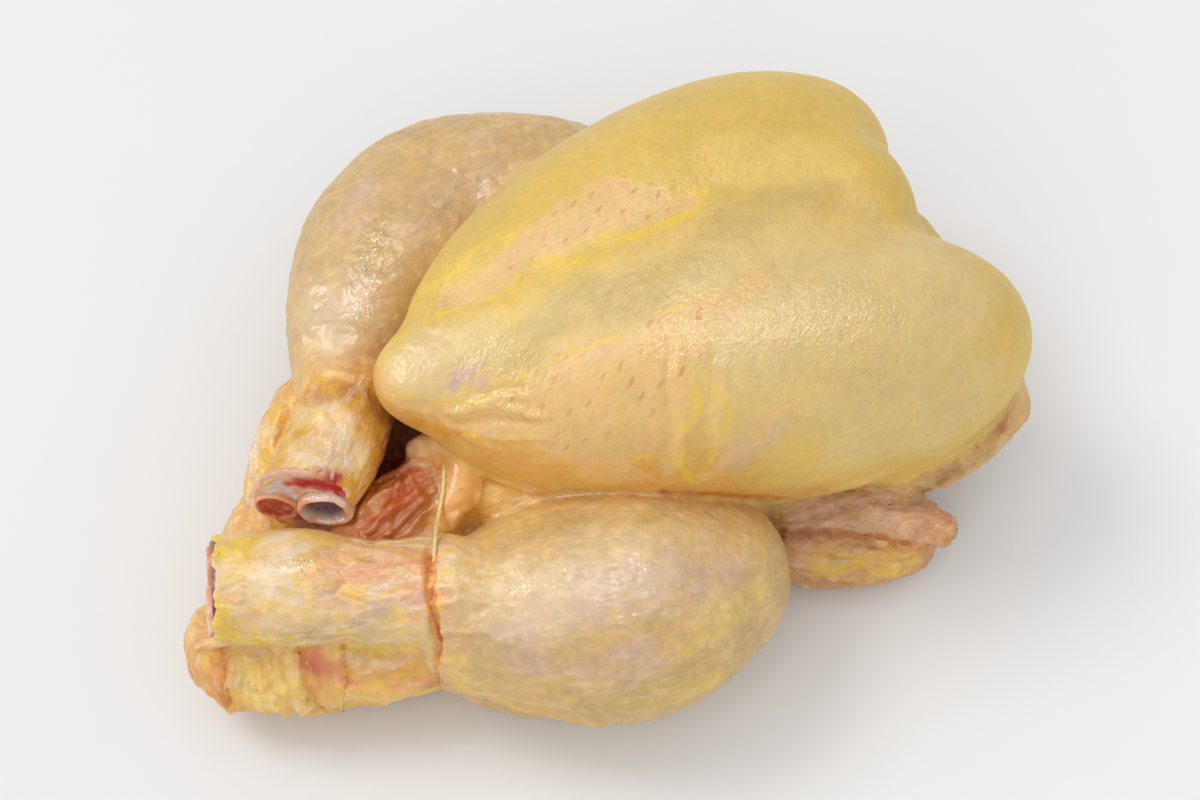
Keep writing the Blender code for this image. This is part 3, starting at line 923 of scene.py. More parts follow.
# Each patch is a tone, how strong it is, its radius, and the places that it lies along.
PATCHES = [
    # breast
    ("cream", 0.35, 22, [(-30, -14, 96), (0, -32, 98), (30, -40, 96)]),
    ("cream", 0.3, 14, [(0, 0, 112), (40, -4, 116), (84, -6, 111)]),
    ("olive", 1.0, 8, [(-22, -5, 104), (-3, -5, 110), (17, -8, 113), (35, -9, 115), (48, -3, 116)]),
    ("olive", 0.6, 10, [(72, -53, 90), (90, -50, 88)]),
    ("olive", 0.6, 9, [(56, 6, 112), (74, 8, 108)]),
    ("olive", 0.4, 14, [(-20, 44, 96), (20, 56, 92), (60, 50, 92)]),
    ("yellow", 0.3, 6, [(-29, 3, 103), (-10, 8, 108), (10, 9, 111)]),
    ("yellow", 0.22, 10, [(-40, 34, 88), (-20, 30, 100), (0, 30, 106)]),
    ("pale_film", 0.9, 22, [(44, -30, 111), (66, -32, 111), (84, -44, 102), (96, -30, 100)]),
    ("pale_film", 0.6, 12, [(-46, 2, 95), (-32, -2, 101)]),
    ("orange", 0.75, 8, [(-60, 4, 78), (-54, -8, 76), (-30, -24, 76), (0, -38, 74), (24, -48, 66)]),
    ("flank", 0.6, 7, [(14, -50, 62), (36, -56, 58), (52, -58, 56)]),
    ("orange", 0.2, 12, [(40, -54, 60), (64, -60, 54), (92, -56, 52)]),
    ("pale_film", 0.75, 12, [(58, -56, 92), (72, -62, 80), (98, -56, 80)]),
    ("flank", 0.4, 9, [(0, -44, 80), (16, -49, 82), (30, -56, 74)]),
    # darker orange-tan along the keel tip's lower edge: partly the skin's own orange, partly painted
    # shade
    ("flank", 0.75, 6, [(-59, 4, 83), (-55, -4, 82), (-46, -14, 80)]),
    # pale cream at the keel's tip: partly the skin's own tone, partly a painted highlight
    ("cream", 0.6, 9, [(-54, 6, 88), (-48, 4, 92)]),
    ("lilac", 0.8, 3, [(-41, -7, 94), (-37, -7, 96), (-34, -9, 96)]),
    ("lilac", 0.4, 5, [(40, -53, 93), (28, -54, 82)]),
    ("yellow", 0.8, 1.6, [(-40, 29, 88), (-32, 25, 97), (-19, 28, 102), (-8, 26, 106)]),
    ("yellow", 0.75, 1.8, [(-6, 13, 108), (4, 9, 111), (10, 14, 111), (23, 10, 113), (41, 11, 114)]),
    ("yellow", 0.6, 1.3, [(17, -31, 106), (21, -42, 100), (12, -46, 89), (15, -51, 72)]),
    ("yellow", 0.5, 1.2, [(24, -36, 105), (28, -45, 97), (21, -52, 82)]),
    ("fat", 0.5, 10, [(60, 22, 110), (84, 16, 106)]),
    # left leg
    ("lilac", 0.5, 9, [(-34, -73, 67), (-18, -75, 72), (-5, -72, 72)]),
    ("lilac", 0.55, 7, [(-49, -72, 60), (-44, -80, 54)]),
    ("lilac", 0.6, 7, [(-32, -90, 52), (-16, -92, 58)]),
    ("lilac", 0.55, 8, [(6, -81, 64), (14, -76, 62)]),
    ("cream", 0.5, 8, [(-46, -58, 68), (-30, -60, 72), (-10, -60, 73), (12, -60, 66)]),
    ("fat", 0.5, 6, [(-2, -93, 57), (8, -88, 58), (20, -82, 50)]),
    ("yellow", 0.45, 4, [(-20, -99, 44), (-8, -100, 42), (4, -98, 40)]),
    ("orange", 0.3, 5, [(-55, -80, 34), (-40, -93, 30), (-24, -98, 28)]),
    ("white", 0.35, 10, [(-44, -66, 66), (-28, -72, 68), (-8, -72, 70)]),
    ("yellow", 0.35, 4, [(-62, -68, 46), (-60, -72, 34), (-50, -84, 28), (-34, -96, 26)]),
    # right leg
    ("lilac", 0.4, 6, [(-46, 69, 72), (-38, 76, 68)]),
    ("lilac", 0.3, 7, [(-61, 41, 69), (-52, 44, 72)]),
    ("lilac", 0.3, 8, [(-1, 78, 70), (-25, 56, 72)]),
    ("pink", 0.45, 6, [(-62, 21, 72), (-55, 29, 70)]),
    # pale white at the right leg's inner end: partly the skin's own colour, partly painted light where
    # the leg lies in shade by the breast
    ("white", 0.5, 9, [(-64, 32, 70), (-66, 44, 64), (-56, 40, 70)]),
    ("cream", 0.5, 9, [(-20, 50, 70), (0, 58, 68), (24, 60, 66)]),
    ("yellow", 0.35, 7, [(-70, 44, 48), (-60, 64, 44), (-40, 86, 40), (-10, 100, 36)]),
    # painted shade: olive darkening along the underside of the left leg
    ("olive", 0.5, 9, [(-50, -86, 40), (-34, -92, 46), (-16, -98, 46), (0, -94, 48)]),
    ("leg", 0.75, 4, [(-20, -47, 68), (-2, -55, 69), (16, -58, 64), (30, -63, 56)]),
    # painted shade: a thin rust line in the crease under the left leg
    ("rust", 0.45, 1.0, [(-66, -62, 30), (-56, -74, 26), (-44, -85, 24), (-30, -92, 22)]),
    # left shank
    ("yellow", 0.9, 4.5, [(-118, -12, 60), (-115, -18, 64), (-106, -20, 66)]),
    ("yellow", 0.9, 5, [(-121, -34, 57), (-121, -40, 50), (-112, -44, 50)]),
    ("white", 0.8, 5, [(-104, -24, 67), (-96, -22, 65), (-108, -34, 64)]),
    ("yellow", 0.6, 3, [(-94, -22, 64), (-88, -26, 64)]),
    ("yellow", 0.5, 3, [(-100, -36, 64), (-90, -42, 62), (-82, -46, 62)]),
    ("pink", 0.75, 7, [(-88, -38, 66), (-80, -40, 66), (-72, -44, 65)]),
    ("rose", 0.3, 3.4, [(-86, -40, 65), (-79, -43, 65)]),
    ("pink", 0.6, 6, [(-66, -44, 65), (-66, -54, 62)]),
    ("lilac", 0.4, 4, [(-86, -50, 58), (-78, -52, 60), (-70, -54, 62)]),
    ("lilac", 0.5, 3, [(-94, -40, 64), (-90, -44, 62)]),
    ("white", 0.6, 3, [(-104, -40, 60), (-96, -44, 59)]),
    ("white", 0.5, 2, [(-82, -46, 62), (-74, -48, 64)]),
    ("lilac", 0.5, 4, [(-108, -44, 52), (-98, -48, 53), (-88, -52, 53)]),
    ("olive", 0.6, 3.5, [(-112, -46, 50), (-104, -46, 52), (-92, -50, 53)]),
    # right shank
    ("flank", 0.55, 5, [(-78, 16, 71), (-72, 11, 74), (-64, 7, 73)]),
    ("shank_yellow", 0.65, 6, [(-88, 24, 58), (-92, 20, 52), (-103, 4, 44)]),
    ("yellow", 0.35, 4, [(-84, 14, 70), (-78, 6, 74)]),
    ("white", 0.5, 5, [(-80, 12, 72), (-72, 2, 74)]),
    ("rust", 0.6, 2.6, [(-70, 15, 73), (-66, 12, 73), (-61, 10, 71), (-60, 4, 68)]),
    ("rust", 0.4, 2.4, [(-78, 16, 71), (-74, 12, 73)]),
    ("pink", 0.6, 4, [(-80, 3, 75), (-84, -1, 74)]),
    ("white", 0.7, 5, [(-86, -2, 74), (-80, -6, 74)]),
    ("white", 1.0, 5.0, [(-74, -4, 72), (-71, -8, 71)]),
    ("yellow", 0.5, 4, [(-88, 24, 56), (-94, 16, 54), (-99, 8, 50)]),
    ("white", 0.7, 3, [(-94, 24, 50), (-99, 16, 46), (-104, 6, 42)]),
    ("orange", 0.4, 5, [(-86, 20, 60), (-93, 6, 56), (-97, -4, 54)]),
    ("rust", 0.5, 3, [(-62, -2, 62), (-66, -8, 60)]),
    ("blood", 0.75, 2.6, [(-84, -10, 73), (-80, -12, 72)]),
    # tail
    ("rose", 0.9, 4.6, [(-101, -49, 36), (-98, -53, 32)]),
    ("pink", 0.6, 3.4, [(-96, -54, 34), (-92, -57, 28)]),
    ("fat", 0.8, 6, [(-88, -52, 38), (-78, -56, 40)]),
    ("pink", 0.6, 7, [(-90, -58, 30), (-80, -60, 30), (-72, -62, 28)]),
    ("fat", 0.85, 6, [(-123, -43, 36), (-119, -49, 27), (-115, -49, 34)]),
    ("yellow", 0.4, 3, [(-122, -40, 38), (-118, -44, 36)]),
    ("orange", 0.7, 8, TAIL_END),
    ("mark", 0.45, 8, TAIL_END),
    # painted shade: a rust line down the valley at the tail's end
    ("rust", 0.45, 1.6, [(-127, -38, 40), (-129, -43, 32), (-130, -46, 22)]),
    ("fat", 0.6, 3, [(-108, -44, 37), (-109, -52, 31), (-106, -57, 22)]),
    # painted shade: brown lines in the tail's folds
    ("brown", 0.55, 1.5, [(-108, -55, 27), (-106, -57, 22)]),
    ("brown", 0.4, 1.4, [(-100, -58, 20)]),
    # painted shade: a rust line in the crease under the tail's flap
    ("rust", 0.45, 1.8, [(-75, -62, 26), (-69, -62, 26)]),
    ("fat", 0.5, 6, [(-96, -56, 26), (-84, -62, 22), (-74, -64, 20)]),
    ("shank_yellow", 0.4, 5, [(-84, -56, 33), (-76, -58, 31)]),
    # vent
    ("maroon", 0.97, 13, [(-56, 6, 34), (-56, 6, 50)]),
    ("maroon", 0.6, 3, [(-70, 0, 46), (-78, -9, 44), (-84, -16, 43)]),
    ("orange", 0.5, 2.4, [(-64, -11, 55), (-70, -18, 50)]),
    ("rust", 0.8, 3, [(-60, -22, 52), (-70, -28, 49), (-80, -27, 46)]),
    ("maroon", 0.35, 2.4, [(-54, -1, 50), (-62, -4, 50), (-68, -7, 49)]),
    # painted highlight: pale cream along the crest of the vent's loop, where light catches it
    ("cream", 0.45, 4.5, [(-53, -4, 56), (-48, -9, 60), (-46, -16, 59), (-49, -24, 56)]),
    ("fat", 0.4, 7, [(-30, -29, 55), (-40, -38, 64), (-21, -39, 60)]),
    # painted shade: rust lines in the crease under the breast's lower edge, from the flank to the left
    # wing
    ("rust", 0.25, 3, [(-39, -21, 55), (-28, -24, 58), (-14, -32, 62), (0, -40, 66)]),
    ("rust", 0.7, 1.5, [(8, -48, 66), (26, -54, 62), (40, -56, 56), (48, -58, 44)]),
    # the crease where the thread lies, with painted shade in it: orange, and a thin rust line
    ("orange", 0.3, 2.0, HIGH_THREAD_CREASE),
    ("orange", 0.3, 2.0, LOW_THREAD_CREASE),
    ("rust", 0.85, 0.8, HIGH_THREAD_CREASE),
    # wings and neck
    ("film", 0.6, 9, [(112, -42, 42), (127, -14, 44), (131, 8, 44), (122, 34, 42), (98, 54, 40)]),
    ("film", 0.5, 8, [(98, 54, 40), (70, 62, 42), (44, 66, 44)]),
    ("pink", 0.4, 6, [(122, -12, 22), (124, 10, 22)]),
    # painted shade: a rust line in the crease where the neck's skin rolls under
    ("rust", 0.45, 1.6, NECK_ROLL),
    ("lilac", 0.4, 7, [(116, 28, 24), (104, 40, 18)]),
    ("flesh", 0.6, 4, [(86, -71, 27), (91, -72, 24)]),
    # painted shade: brown under the left wing
    ("brown", 0.3, 4, [(50, -70, 20), (62, -74, 19)]),
    ("lilac", 0.6, 5, [(50, -60, 34), (60, -60, 35), (74, -66, 33), (84, -70, 27)]),
    ("pink", 0.55, 4, [(80, -70, 28), (88, -72, 26)]),
    ("yellow", 0.45, 5, [(52, -71, 22), (62, -74, 20), (76, -77, 16)]),
    # painted shade: a brown line in the left wing's fold
    ("brown", 0.65, 2.4, [(45, -61, 31), (56, -65, 29), (68, -70, 24)]),
    ("lilac", 0.5, 6, [(50, 62, 36), (64, 66, 35), (82, 72, 30)]),
    # painted shade: a brown line in the right wing's fold
    ("brown", 0.5, 2.4, [(43, 66, 31), (56, 70, 29), (70, 73, 24)]),
    # painted shade: a brown line in the crease where the breast skin meets the neck's
    ("brown", 0.45, 3, [(90, -62, 30), (93, -62, 35), (98, -62, 37)]),
    ("rust", 0.4, 2.5, [(113, -58, 44), (118, -52, 50)]),
    # painted shade: brown over the lower edge of the neck's skin
    ("brown", 0.25, 8, [(94, -62, 36), (104, -60, 42), (114, -54, 48)]),
    ("yellow", 0.3, 12, [(112, -20, 60), (122, 10, 56)]),
]
PATCH_EDGE = 0.55
LARGE_PATCH = 9.0

# The breast's bare tracts, where the film has come off: x, y, z and half the width.
BARE_TRACTS = [
    # beside the keel, over the right lobe
    [(-53, 14, 89, 2), (-38, 18, 96, 3.5), (-21, 16, 103, 4.5), (-8, 19, 107, 5.5), (4, 21, 109, 6.5)],
    [(4, 21, 109, 6.5), (17, 23, 111, 7.5), (29, 18, 112, 6.5), (36, 15, 112, 4), (50, 14, 113, 2)],
    [(50, 14, 113, 2), (69, 13, 111, 1.2), (88, 16, 106, 0.5)],
    # over the left lobe and down to the leg
    [(-56, -3, 85, 2.5), (-47, -12, 85, 4.5), (-34, -20, 88, 5.5), (-20, -23, 96, 8)],
    [(-20, -23, 96, 8), (-6, -26, 101, 10), (8, -29, 105, 9.5), (25, -25, 111, 8), (38, -22, 113, 5)],
    [(38, -22, 113, 5), (51, -17, 114, 2)],
    [(-17, -31, 90, 10), (-7, -37, 88, 11), (4, -40, 92, 8), (12, -38, 100, 6)],
    [(-9, -42, 77, 6), (2, -47, 75, 3)],
    [(15, -35, 104, 3.5), (12, -44, 92, 3.5), (9, -49, 76, 2.5)],
    [(19, -53, 73, 1.5), (29, -54, 85, 2.5), (41, -52, 95, 2.2), (45, -52, 97, 1)],
    [(-41, -7, 94, 1.5), (-37, -7, 97, 3.2), (-33, -9, 97, 1.5)],
    # at the neck's end
    [(78, 32, 104, 0.5), (88, 30, 99, 3), (96, 26, 93, 0.5)],
    [(100, -18, 98, 1), (106, -28, 88, 4), (104, -36, 78, 1)],
]
BARE_REACH = 12.0

FOLLICLE_RISE = 0.10
# The follicles' rows: the line that each set follows, its spacing along and across, and how
# far from the line it reaches.
FOLLICLE_ROWS = [
    ([(-52, 21, 86), (-26, 18, 102), (6, 19, 109), (40, 22, 112), (76, 26, 108)], 5.9, 4.6, 12),
    ([(-48, -24, 84), (-6, -28, 100), (14, -27, 107), (64, -16, 114)], 6.6, 5.2, 17),
]


def patch_mask(points, radius, line):
    mask = np.zeros(len(points))
    reach = radius * (1 + PATCH_EDGE)
    inside, gap = near_line(points, line, reach)
    mask[inside] = smooth_step(gap, reach, radius * (1 - PATCH_EDGE))
    return mask


def skin_tone(points, shares, block):
    """The colour of the skin before its film, its marks and its finest mottling."""
    total = sum(np.outer(share, TONES[REGION_TONES[name]]) for name, share in shares.items())
    broken = 1 + 0.8 * noise(points, 4.2, 31) + 0.5 * noise(points, 2.0, 32)
    warped = {}
    for name, strength, radius, path in PATCHES:
        scale = 2.0 if radius < 3 else 5.0 if radius < 8 else 11.0
        if scale not in warped:
            warped[scale] = wander(points, scale * 0.45, scale * 1.3, int(scale))
        line = thin_line(path, block if radius < LARGE_PATCH else None)
        mask = strength * patch_mask(warped[scale], radius, line)
        if radius < LARGE_PATCH:
            mask = np.clip(mask * broken, 0, 1)
        total += mask[:, None] * (TONES[name] - total)
    return total


def bare_depth(points):
    """How far inside a bare tract each place is, in millimetres, negative outside."""
    depth = np.full(len(points), -BARE_REACH)
    for stations in BARE_TRACTS:
        depth = np.maximum(depth, -limb(stations).at(points))
    return np.clip(depth, -BARE_REACH, BARE_REACH)


def follicle_grid(points):
    """Coordinates with one follicle in the middle of each whole square, and their strength."""
    grid = np.zeros((len(points), 3))
    strength = np.zeros(len(points))
    for number, (path, pitch, spacing, reach) in enumerate(FOLLICLE_ROWS):
        line = smooth_path(path, 6)
        steps = np.linalg.norm(np.diff(line, axis=0), axis=1)
        run = np.concatenate([[0], np.cumsum(steps)])
        best = np.full(len(points), 1e9)
        along = np.zeros(len(points))
        across = np.zeros(len(points))
        for index, (a, b) in enumerate(zip(line[:-1], line[1:])):
            direction = (b - a) / steps[index]
            offset = points - a
            share = np.clip(offset @ direction, 0, steps[index])
            away = offset - np.outer(share, direction)
            gap = np.linalg.norm(away, axis=1)
            closer = gap < best
            side = np.sign(away @ np.cross((0, 0, 1), direction))
            best = np.where(closer, gap, best)
            along = np.where(closer, run[index] + share, along)
            across = np.where(closer, side * gap, across)
        lean = 0.18 * np.stack([noise(points, 9.0, 70 + axis) for axis in range(2)], 1)
        row = across / spacing
        spots = np.stack([along / pitch + 0.5 * np.floor(row), row], 1) + lean
        mask = smooth_step(best, reach, reach * 0.6)
        nearer = mask > strength
        grid[nearer, :2] = spots[nearer] + 100 * number
        strength = np.maximum(strength, mask)
    return grid, strength


def follicle_relief(grid, strength):
    """A low rise at each follicle of the breast's rows."""
    row = np.floor(grid[:, 1])
    run = grid[:, 0] + 0.5 * np.mod(row, 2)
    x, y = run - np.floor(run) - 0.5, grid[:, 1] - row - 0.5
    return strength * smooth_step(np.sqrt(x * x + y * y), 0.26, 0.05)


def relief(points, shares, folds):
    """How far the skin is raised at each place, along its normal."""
    total = uneven_relief(points, shares) + fold_relief(points, folds)
    total += wrinkle_relief(points, shares) + bump_relief(points, shares)
    total += FOLLICLE_RISE * follicle_relief(*follicle_grid(points))
    return total


def make_skin(lumps):
    block = sculpt(lumps)
    points, quads = block.surface()
    skin = new_object("chicken_skin", grid_mesh("chicken_skin", points, quads))
    smooth = skin.modifiers.new("smooth", "SMOOTH")
    smooth.factor = 0.5
    smooth.iterations = 3
    apply_modifiers(skin)

    points, normals = places_and_normals(skin.data)
    shares = region_shares(points, lumps)
    # the skin stays smooth where it rests, under the bare thread and down in the cuts
    relieved = smooth_step(points[:, 2], 0.4, 14.0)
    relieved *= 0.2 + 0.8 * smooth_step(bare_thread().at(points), 0.8, 2.4)
    relieved *= 1 - np.clip(socket_share(points), 0, 1)
    folds = [(height, width, thin_line(path, block)) for height, width, path in FOLDS]
    raised = relief(points, shares, folds) * relieved
    points += normals * raised[:, None] + rim_relief(points)
    points[:, 2] = np.maximum(points[:, 2], 0)
    move_vertices(skin.data, points)
    skin.data.update()

    triangles = 2 * len(skin.data.polygons)
    if triangles > SKIN_TRIANGLES:
        fewer = skin.modifiers.new("fewer", "DECIMATE")
        fewer.ratio = SKIN_TRIANGLES / triangles
        apply_modifiers(skin)
    describe_skin(skin, lumps, block, folds)
    move_vertices(skin.data, to_frame(read_vectors(skin.data.vertices, "co")))
    shade_smooth(skin)
    return skin


# How strongly fat and sinew show through each region, and how rough its wrinkles are.
MARBLED = {
    "left_shank": 0.8,
    "right_shank": 0.6,
    "tail": 0.7,
    "thigh_flap": 0.7,
    "back_skin_fold": 0.6,
    "left_leg": 0.3,
    "right_leg": 0.22,
    "left_leg_fold": 0.4,
    "left_wing": 0.3,
    "right_wing": 0.3,
    "flank": 0.3,
    "neck": 0.3,
    "carcass": 0.3,
    "breast": 0.1,
}
WRINKLED = {"breast": 0.5, "left_leg": 0.25, "right_leg": 0.25, "left_shank": 0.7, "right_shank": 0.7}

# Where the skin is wet and shines, and where its film is finely crinkled: radius and path.
WET_PLACES = [
    (6, [(-52, 9, 92), (-46, 7, 94)]),
    (6, [(-36, -7, 97), (-26, -8, 101)]),
    (6, [(-38, -15, 90), (-28, -20, 93)]),
    (9, [(28, -24, 112), (36, -27, 112), (16, -28, 109)]),
    (11, [(54, -26, 113), (64, -36, 112), (74, -45, 107)]),
    (5, [(-42, -60, 69), (-34, -62, 71)]),
    (5, [(-52, 34, 72), (-50, 50, 74), (-42, 64, 73)]),
    (6, [(-72, -5, 73), (-84, 2, 74)]),
    (4, [(-104, -26, 66), (-98, -30, 66)]),
    (8, [(-120, -46, 32), (-100, -52, 34)]),
    (6, [(74, -62, 32), (88, -68, 27)]),
    (7, [(-96, 14, 52), (-102, 4, 46)]),
]
CRINKLED_PLACES = [
    (20, [(52, -26, 113), (68, -40, 108), (80, -48, 103)]),
    (6, [(-36, -8, 96), (-26, -10, 99)]),
    (10, [(48, -58, 60), (60, -60, 58), (84, -60, 54)]),
]
# How far off other skin has to be before it shades a place broadly, and closely.
ROOM_REACH = 6.0
TIGHT_REACH = 2.2


def describe_skin(skin, lumps, block, folds):
    """Stores what the skin's material reads: its tone, film, follicles, painted crease shade and gloss.

    room and tight are 1 where other skin faces a place from near by, so that it is in shade. With the
    shade along the folds' creases and in the grooves, they make the painted shade that darkens the skin's
    colour.
    """
    points, normals = places_and_normals(skin.data)
    shares = region_shares(points, lumps)
    tone = np.ones((len(points), 4))
    tone[:, :3] = np.clip(skin_tone(points, shares, block), 0, 1)
    room = smooth_step(block.at(points + normals * ROOM_REACH) / ROOM_REACH, 0.9, 0.1)
    tight = smooth_step(block.at(points + normals * TIGHT_REACH) / TIGHT_REACH, 0.8, 0.1)
    # painted shade along the creases of the folds and down in the grooves
    fold_shade = 0.6 * smooth_step(fold_relief(points, folds), -0.4, -2.4)
    for radius, path in GROOVES:
        inside, gap = near_line(points, thin_line(path, block), radius * 3)
        fold_shade[inside] = np.maximum(fold_shade[inside], smooth_step(gap, radius * 1.6, radius * 0.6))
    grid, strength = follicle_grid(points)
    grid[:, 2] = strength * shares["breast"]
    wet, crinkled = (
        sum(patch_mask(points, radius, thin_line(path, block)) for radius, path in places)
        for places in (WET_PLACES, CRINKLED_PLACES)
    )
    way, inland = lengthwise(points, shares)
    for name, values in {
        "tone": tone,
        "bare": bare_depth(wander(points, 1.4, 8.0, 7)) / BARE_REACH,
        "follicles": grid,
        "lengthwise": way,
        "goose_bump": mixed(shares, GOOSEY) * inland,
        "wrinkled": mixed(shares, WRINKLED, 1.0) * inland,
        "crease_shade": np.clip(room * 0.1 + tight * 0.3 + fold_shade * 0.8, 0, 1),
        "marbled": mixed(shares, MARBLED) * inland,
        "wet": np.clip(wet, 0, 1),
        "crinkled": np.clip(crinkled + 0.6 * shares["breast"], 0, 1) * inland,
        "film": shares["breast"],
        "fat_crumbs": place_shares(points, block, CRUMB_PLACES),
        "quill_stubs": place_shares(points, block, QUILL_PLACES),
    }.items():
        add_values(skin.data, name, values)


# ---------------------------------------------------------------- node trees


class Wire:
    """A node's output. Arithmetic on it adds Math nodes to its tree."""

    def __init__(self, socket):
        self.socket = socket
        self.tree = socket.id_data

    def maths(self, operation, *values):
        return wire(self.tree, "ShaderNodeMath", dict(enumerate((self, *values))), operation=operation)

    def __add__(self, other):
        return self.maths("ADD", other)

    def __sub__(self, other):
        return self.maths("SUBTRACT", other)

    def __mul__(self, other):
        return self.maths("MULTIPLY", other)

    def __truediv__(self, other):
        return self.maths("DIVIDE", other)

    def scaled(self, amount):
        """A vector or a colour, times a number."""
        feeds = {0: self, "Scale": amount}
        return wire(self.tree, "ShaderNodeVectorMath", feeds, operation="SCALE")

    def shifted(self, amount):
        """A vector moved by another."""
        return wire(self.tree, "ShaderNodeVectorMath", {0: self, 1: amount}, operation="ADD")

    def slope(self, low, high, to_low=0.0, to_high=1.0):
        """An easy slope from one number to another, as the value goes from low to high."""
        feeds = {"Value": self, "From Min": low, "From Max": high, "To Min": to_low, "To Max": to_high}
        return wire(self.tree, "ShaderNodeMapRange", feeds, interpolation_type="SMOOTHSTEP")


def plug(socket, value):
    """Feeds an input from a wire, or sets it to a plain value."""
    if isinstance(value, Wire):
        socket.id_data.links.new(value.socket, socket)
    else:
        socket.default_value = value


def add_node(tree, kind, feeds=None, **settings):
    """A node with its settings. Each feed is a plain value or another node's wire."""
    node = tree.nodes.new(kind)
    for name, value in settings.items():
        setattr(node, name, value)
    for name, value in (feeds or {}).items():
        plug(node.inputs[name], value)
    return node


def wire(tree, kind, feeds=None, output=0, **settings):
    """One output of a new node."""
    return Wire(add_node(tree, kind, feeds, **settings).outputs[output])


def lay(colour, tone, amount, kind="MIX"):
    """A colour with another laid over it. Each is a wire, a tone's name or three numbers."""
    node = add_node(amount.tree, "ShaderNodeMix", {0: amount}, data_type="RGBA", blend_type=kind)
    for index, value in ((6, colour), (7, tone)):
        if isinstance(value, str):
            value = TONES[value]
        plug(node.inputs[index], value if isinstance(value, Wire) else (*value, 1.0))
    return Wire(node.outputs[2])


def millimetres(tree):
    """Object coordinates in millimetres."""
    return wire(tree, "ShaderNodeTexCoord", output="Object").scaled(1 / MM)


def grain(places, size, detail=3.0, roughness=0.55, shift=0.0):
    """Noise from 0 to 1 with bumps of that size."""
    if shift:
        places = places.shifted((shift, -shift, 2 * shift))
    feeds = {"Vector": places, "Scale": 1 / size, "Detail": detail, "Roughness": roughness}
    return wire(places.tree, "ShaderNodeTexNoise", feeds)


def reading(tree, name, output="Fac"):
    """What add_values() stored on the mesh under that name."""
    return wire(tree, "ShaderNodeAttribute", output=output, attribute_name=name)


SOCKETS = {
    "number": "NodeSocketFloat",
    "whole": "NodeSocketInt",
    "colour": "NodeSocketColor",
    "vector": "NodeSocketVector",
    "shape": "NodeSocketGeometry",
}


def new_group(name, takes, gives, kind="ShaderNodeTree"):
    """A node group with its sockets: its tree, the wires that come in, the sockets to feed."""
    tree = bpy.data.node_groups.new(name, kind)
    for way, sockets in (("INPUT", takes), ("OUTPUT", gives)):
        for title, sort in sockets.items():
            tree.interface.new_socket(name=title, in_out=way, socket_type=SOCKETS[sort])
    given = tree.nodes.new("NodeGroupInput").outputs
    result = tree.nodes.new("NodeGroupOutput").inputs
    return tree, {title: Wire(given[title]) for title in takes}, result


def put_group(tree, group, **feeds):
    """A group placed in a tree, as its outputs by name."""
    node = add_node(tree, "ShaderNodeGroup", node_tree=group)
    for name, value in feeds.items():
        plug(node.inputs[name], value)
    return {socket.name: Wire(socket) for socket in node.outputs}


# Marbling is laid on in turn: tone, size, the noise that it starts and ends at, most, shift.
MARBLING = [
    ("yellow", 4.6, 0.50, 0.62, 0.62, 11.0),
    ("white", 3.8, 0.53, 0.66, 0.75, 47.0),
    ("pink", 5.5, 0.54, 0.68, 0.50, 83.0),
    ("lilac", 3.0, 0.60, 0.72, 0.45, 150.0),
]
WARM_TINT = (1.03, 0.93, 0.70)
COOL_TONE = TONES["cream"] * (1.0, 0.97, 1.12)
# The colour that painted shade in the furrows multiplies the skin by.
FURROW_SHADE_TINT = (0.90, 0.74, 0.52)
# The colour that painted shade in creases, grooves and nooks multiplies the skin by.
CREASE_SHADE_TINT = (0.93, 0.60, 0.34)
RAGGED_FILM = 7.0
MARK_LEAN = (0.80, 0.60)
MARK_NARROWNESS = 2.6
CROWN_SIZE = 2.1
SPECK_SPACING = 7.0
MARROW_HOLE = 0.8
LEAST_ROUGHNESS = 0.18
BUMP_STRENGTH = 0.8
FLOOR_TONES = ((0.81, 0.815, 0.825), (0.835, 0.84, 0.845))


def mottle_group():
    """Uneven colour, from broad clouds to fine flecks, over any of the bird's tones."""
    takes = {"Tone": "colour", "Strength": "number"}
    tree, given, result = new_group("mottle", takes, {"Colour": "colour"})
    places = millimetres(tree)
    clouds = grain(places, 17.0, 2.0, 0.6).slope(0.32, 0.68, 0.92, 1.05)
    flecks = grain(places, 3.1, 3.0, 0.62, 30.0).slope(0.34, 0.66, 0.94, 1.05)
    warm = grain(places, 6.5, 3.0, 0.65, 70.0).slope(0.52, 0.70)
    cool = grain(places, 5.2, 3.0, 0.6, 120.0).slope(0.54, 0.72)
    lit = given["Tone"].scaled((clouds * flecks - 1.0) * given["Strength"] + 1.0)
    warmed = lay(lit, WARM_TINT, warm * (given["Strength"] * 0.24), "MULTIPLY")
    plug(result["Colour"], lay(warmed, COOL_TONE, cool * (given["Strength"] * 0.28)))
    return tree


def film_group():
    """Where the yellow film is rubbed off: a ragged edge, and a thin rim of thicker film."""
    gives = {"Bare": "number", "Rim": "number"}
    tree, given, result = new_group("rubbed film", {"Depth": "number"}, gives)
    places = millimetres(tree)
    edge = given["Depth"] * BARE_REACH + (grain(places, 8.0, 4.0, 0.66) - 0.5) * RAGGED_FILM
    soft = grain(places, 9.0, 2.0, 0.5, 15.0).slope(0.40, 0.60, 0.2, 1.6)
    lip = (edge + 0.7).maths("ABSOLUTE").slope(0.9, 0.2)
    patchy = grain(places, 12.0, 1.0, 0.5, 45.0).slope(0.50, 0.64)
    plug(result["Bare"], (edge / soft).slope(-1.0, 1.0))
    plug(result["Rim"], lip * patchy)
    return tree


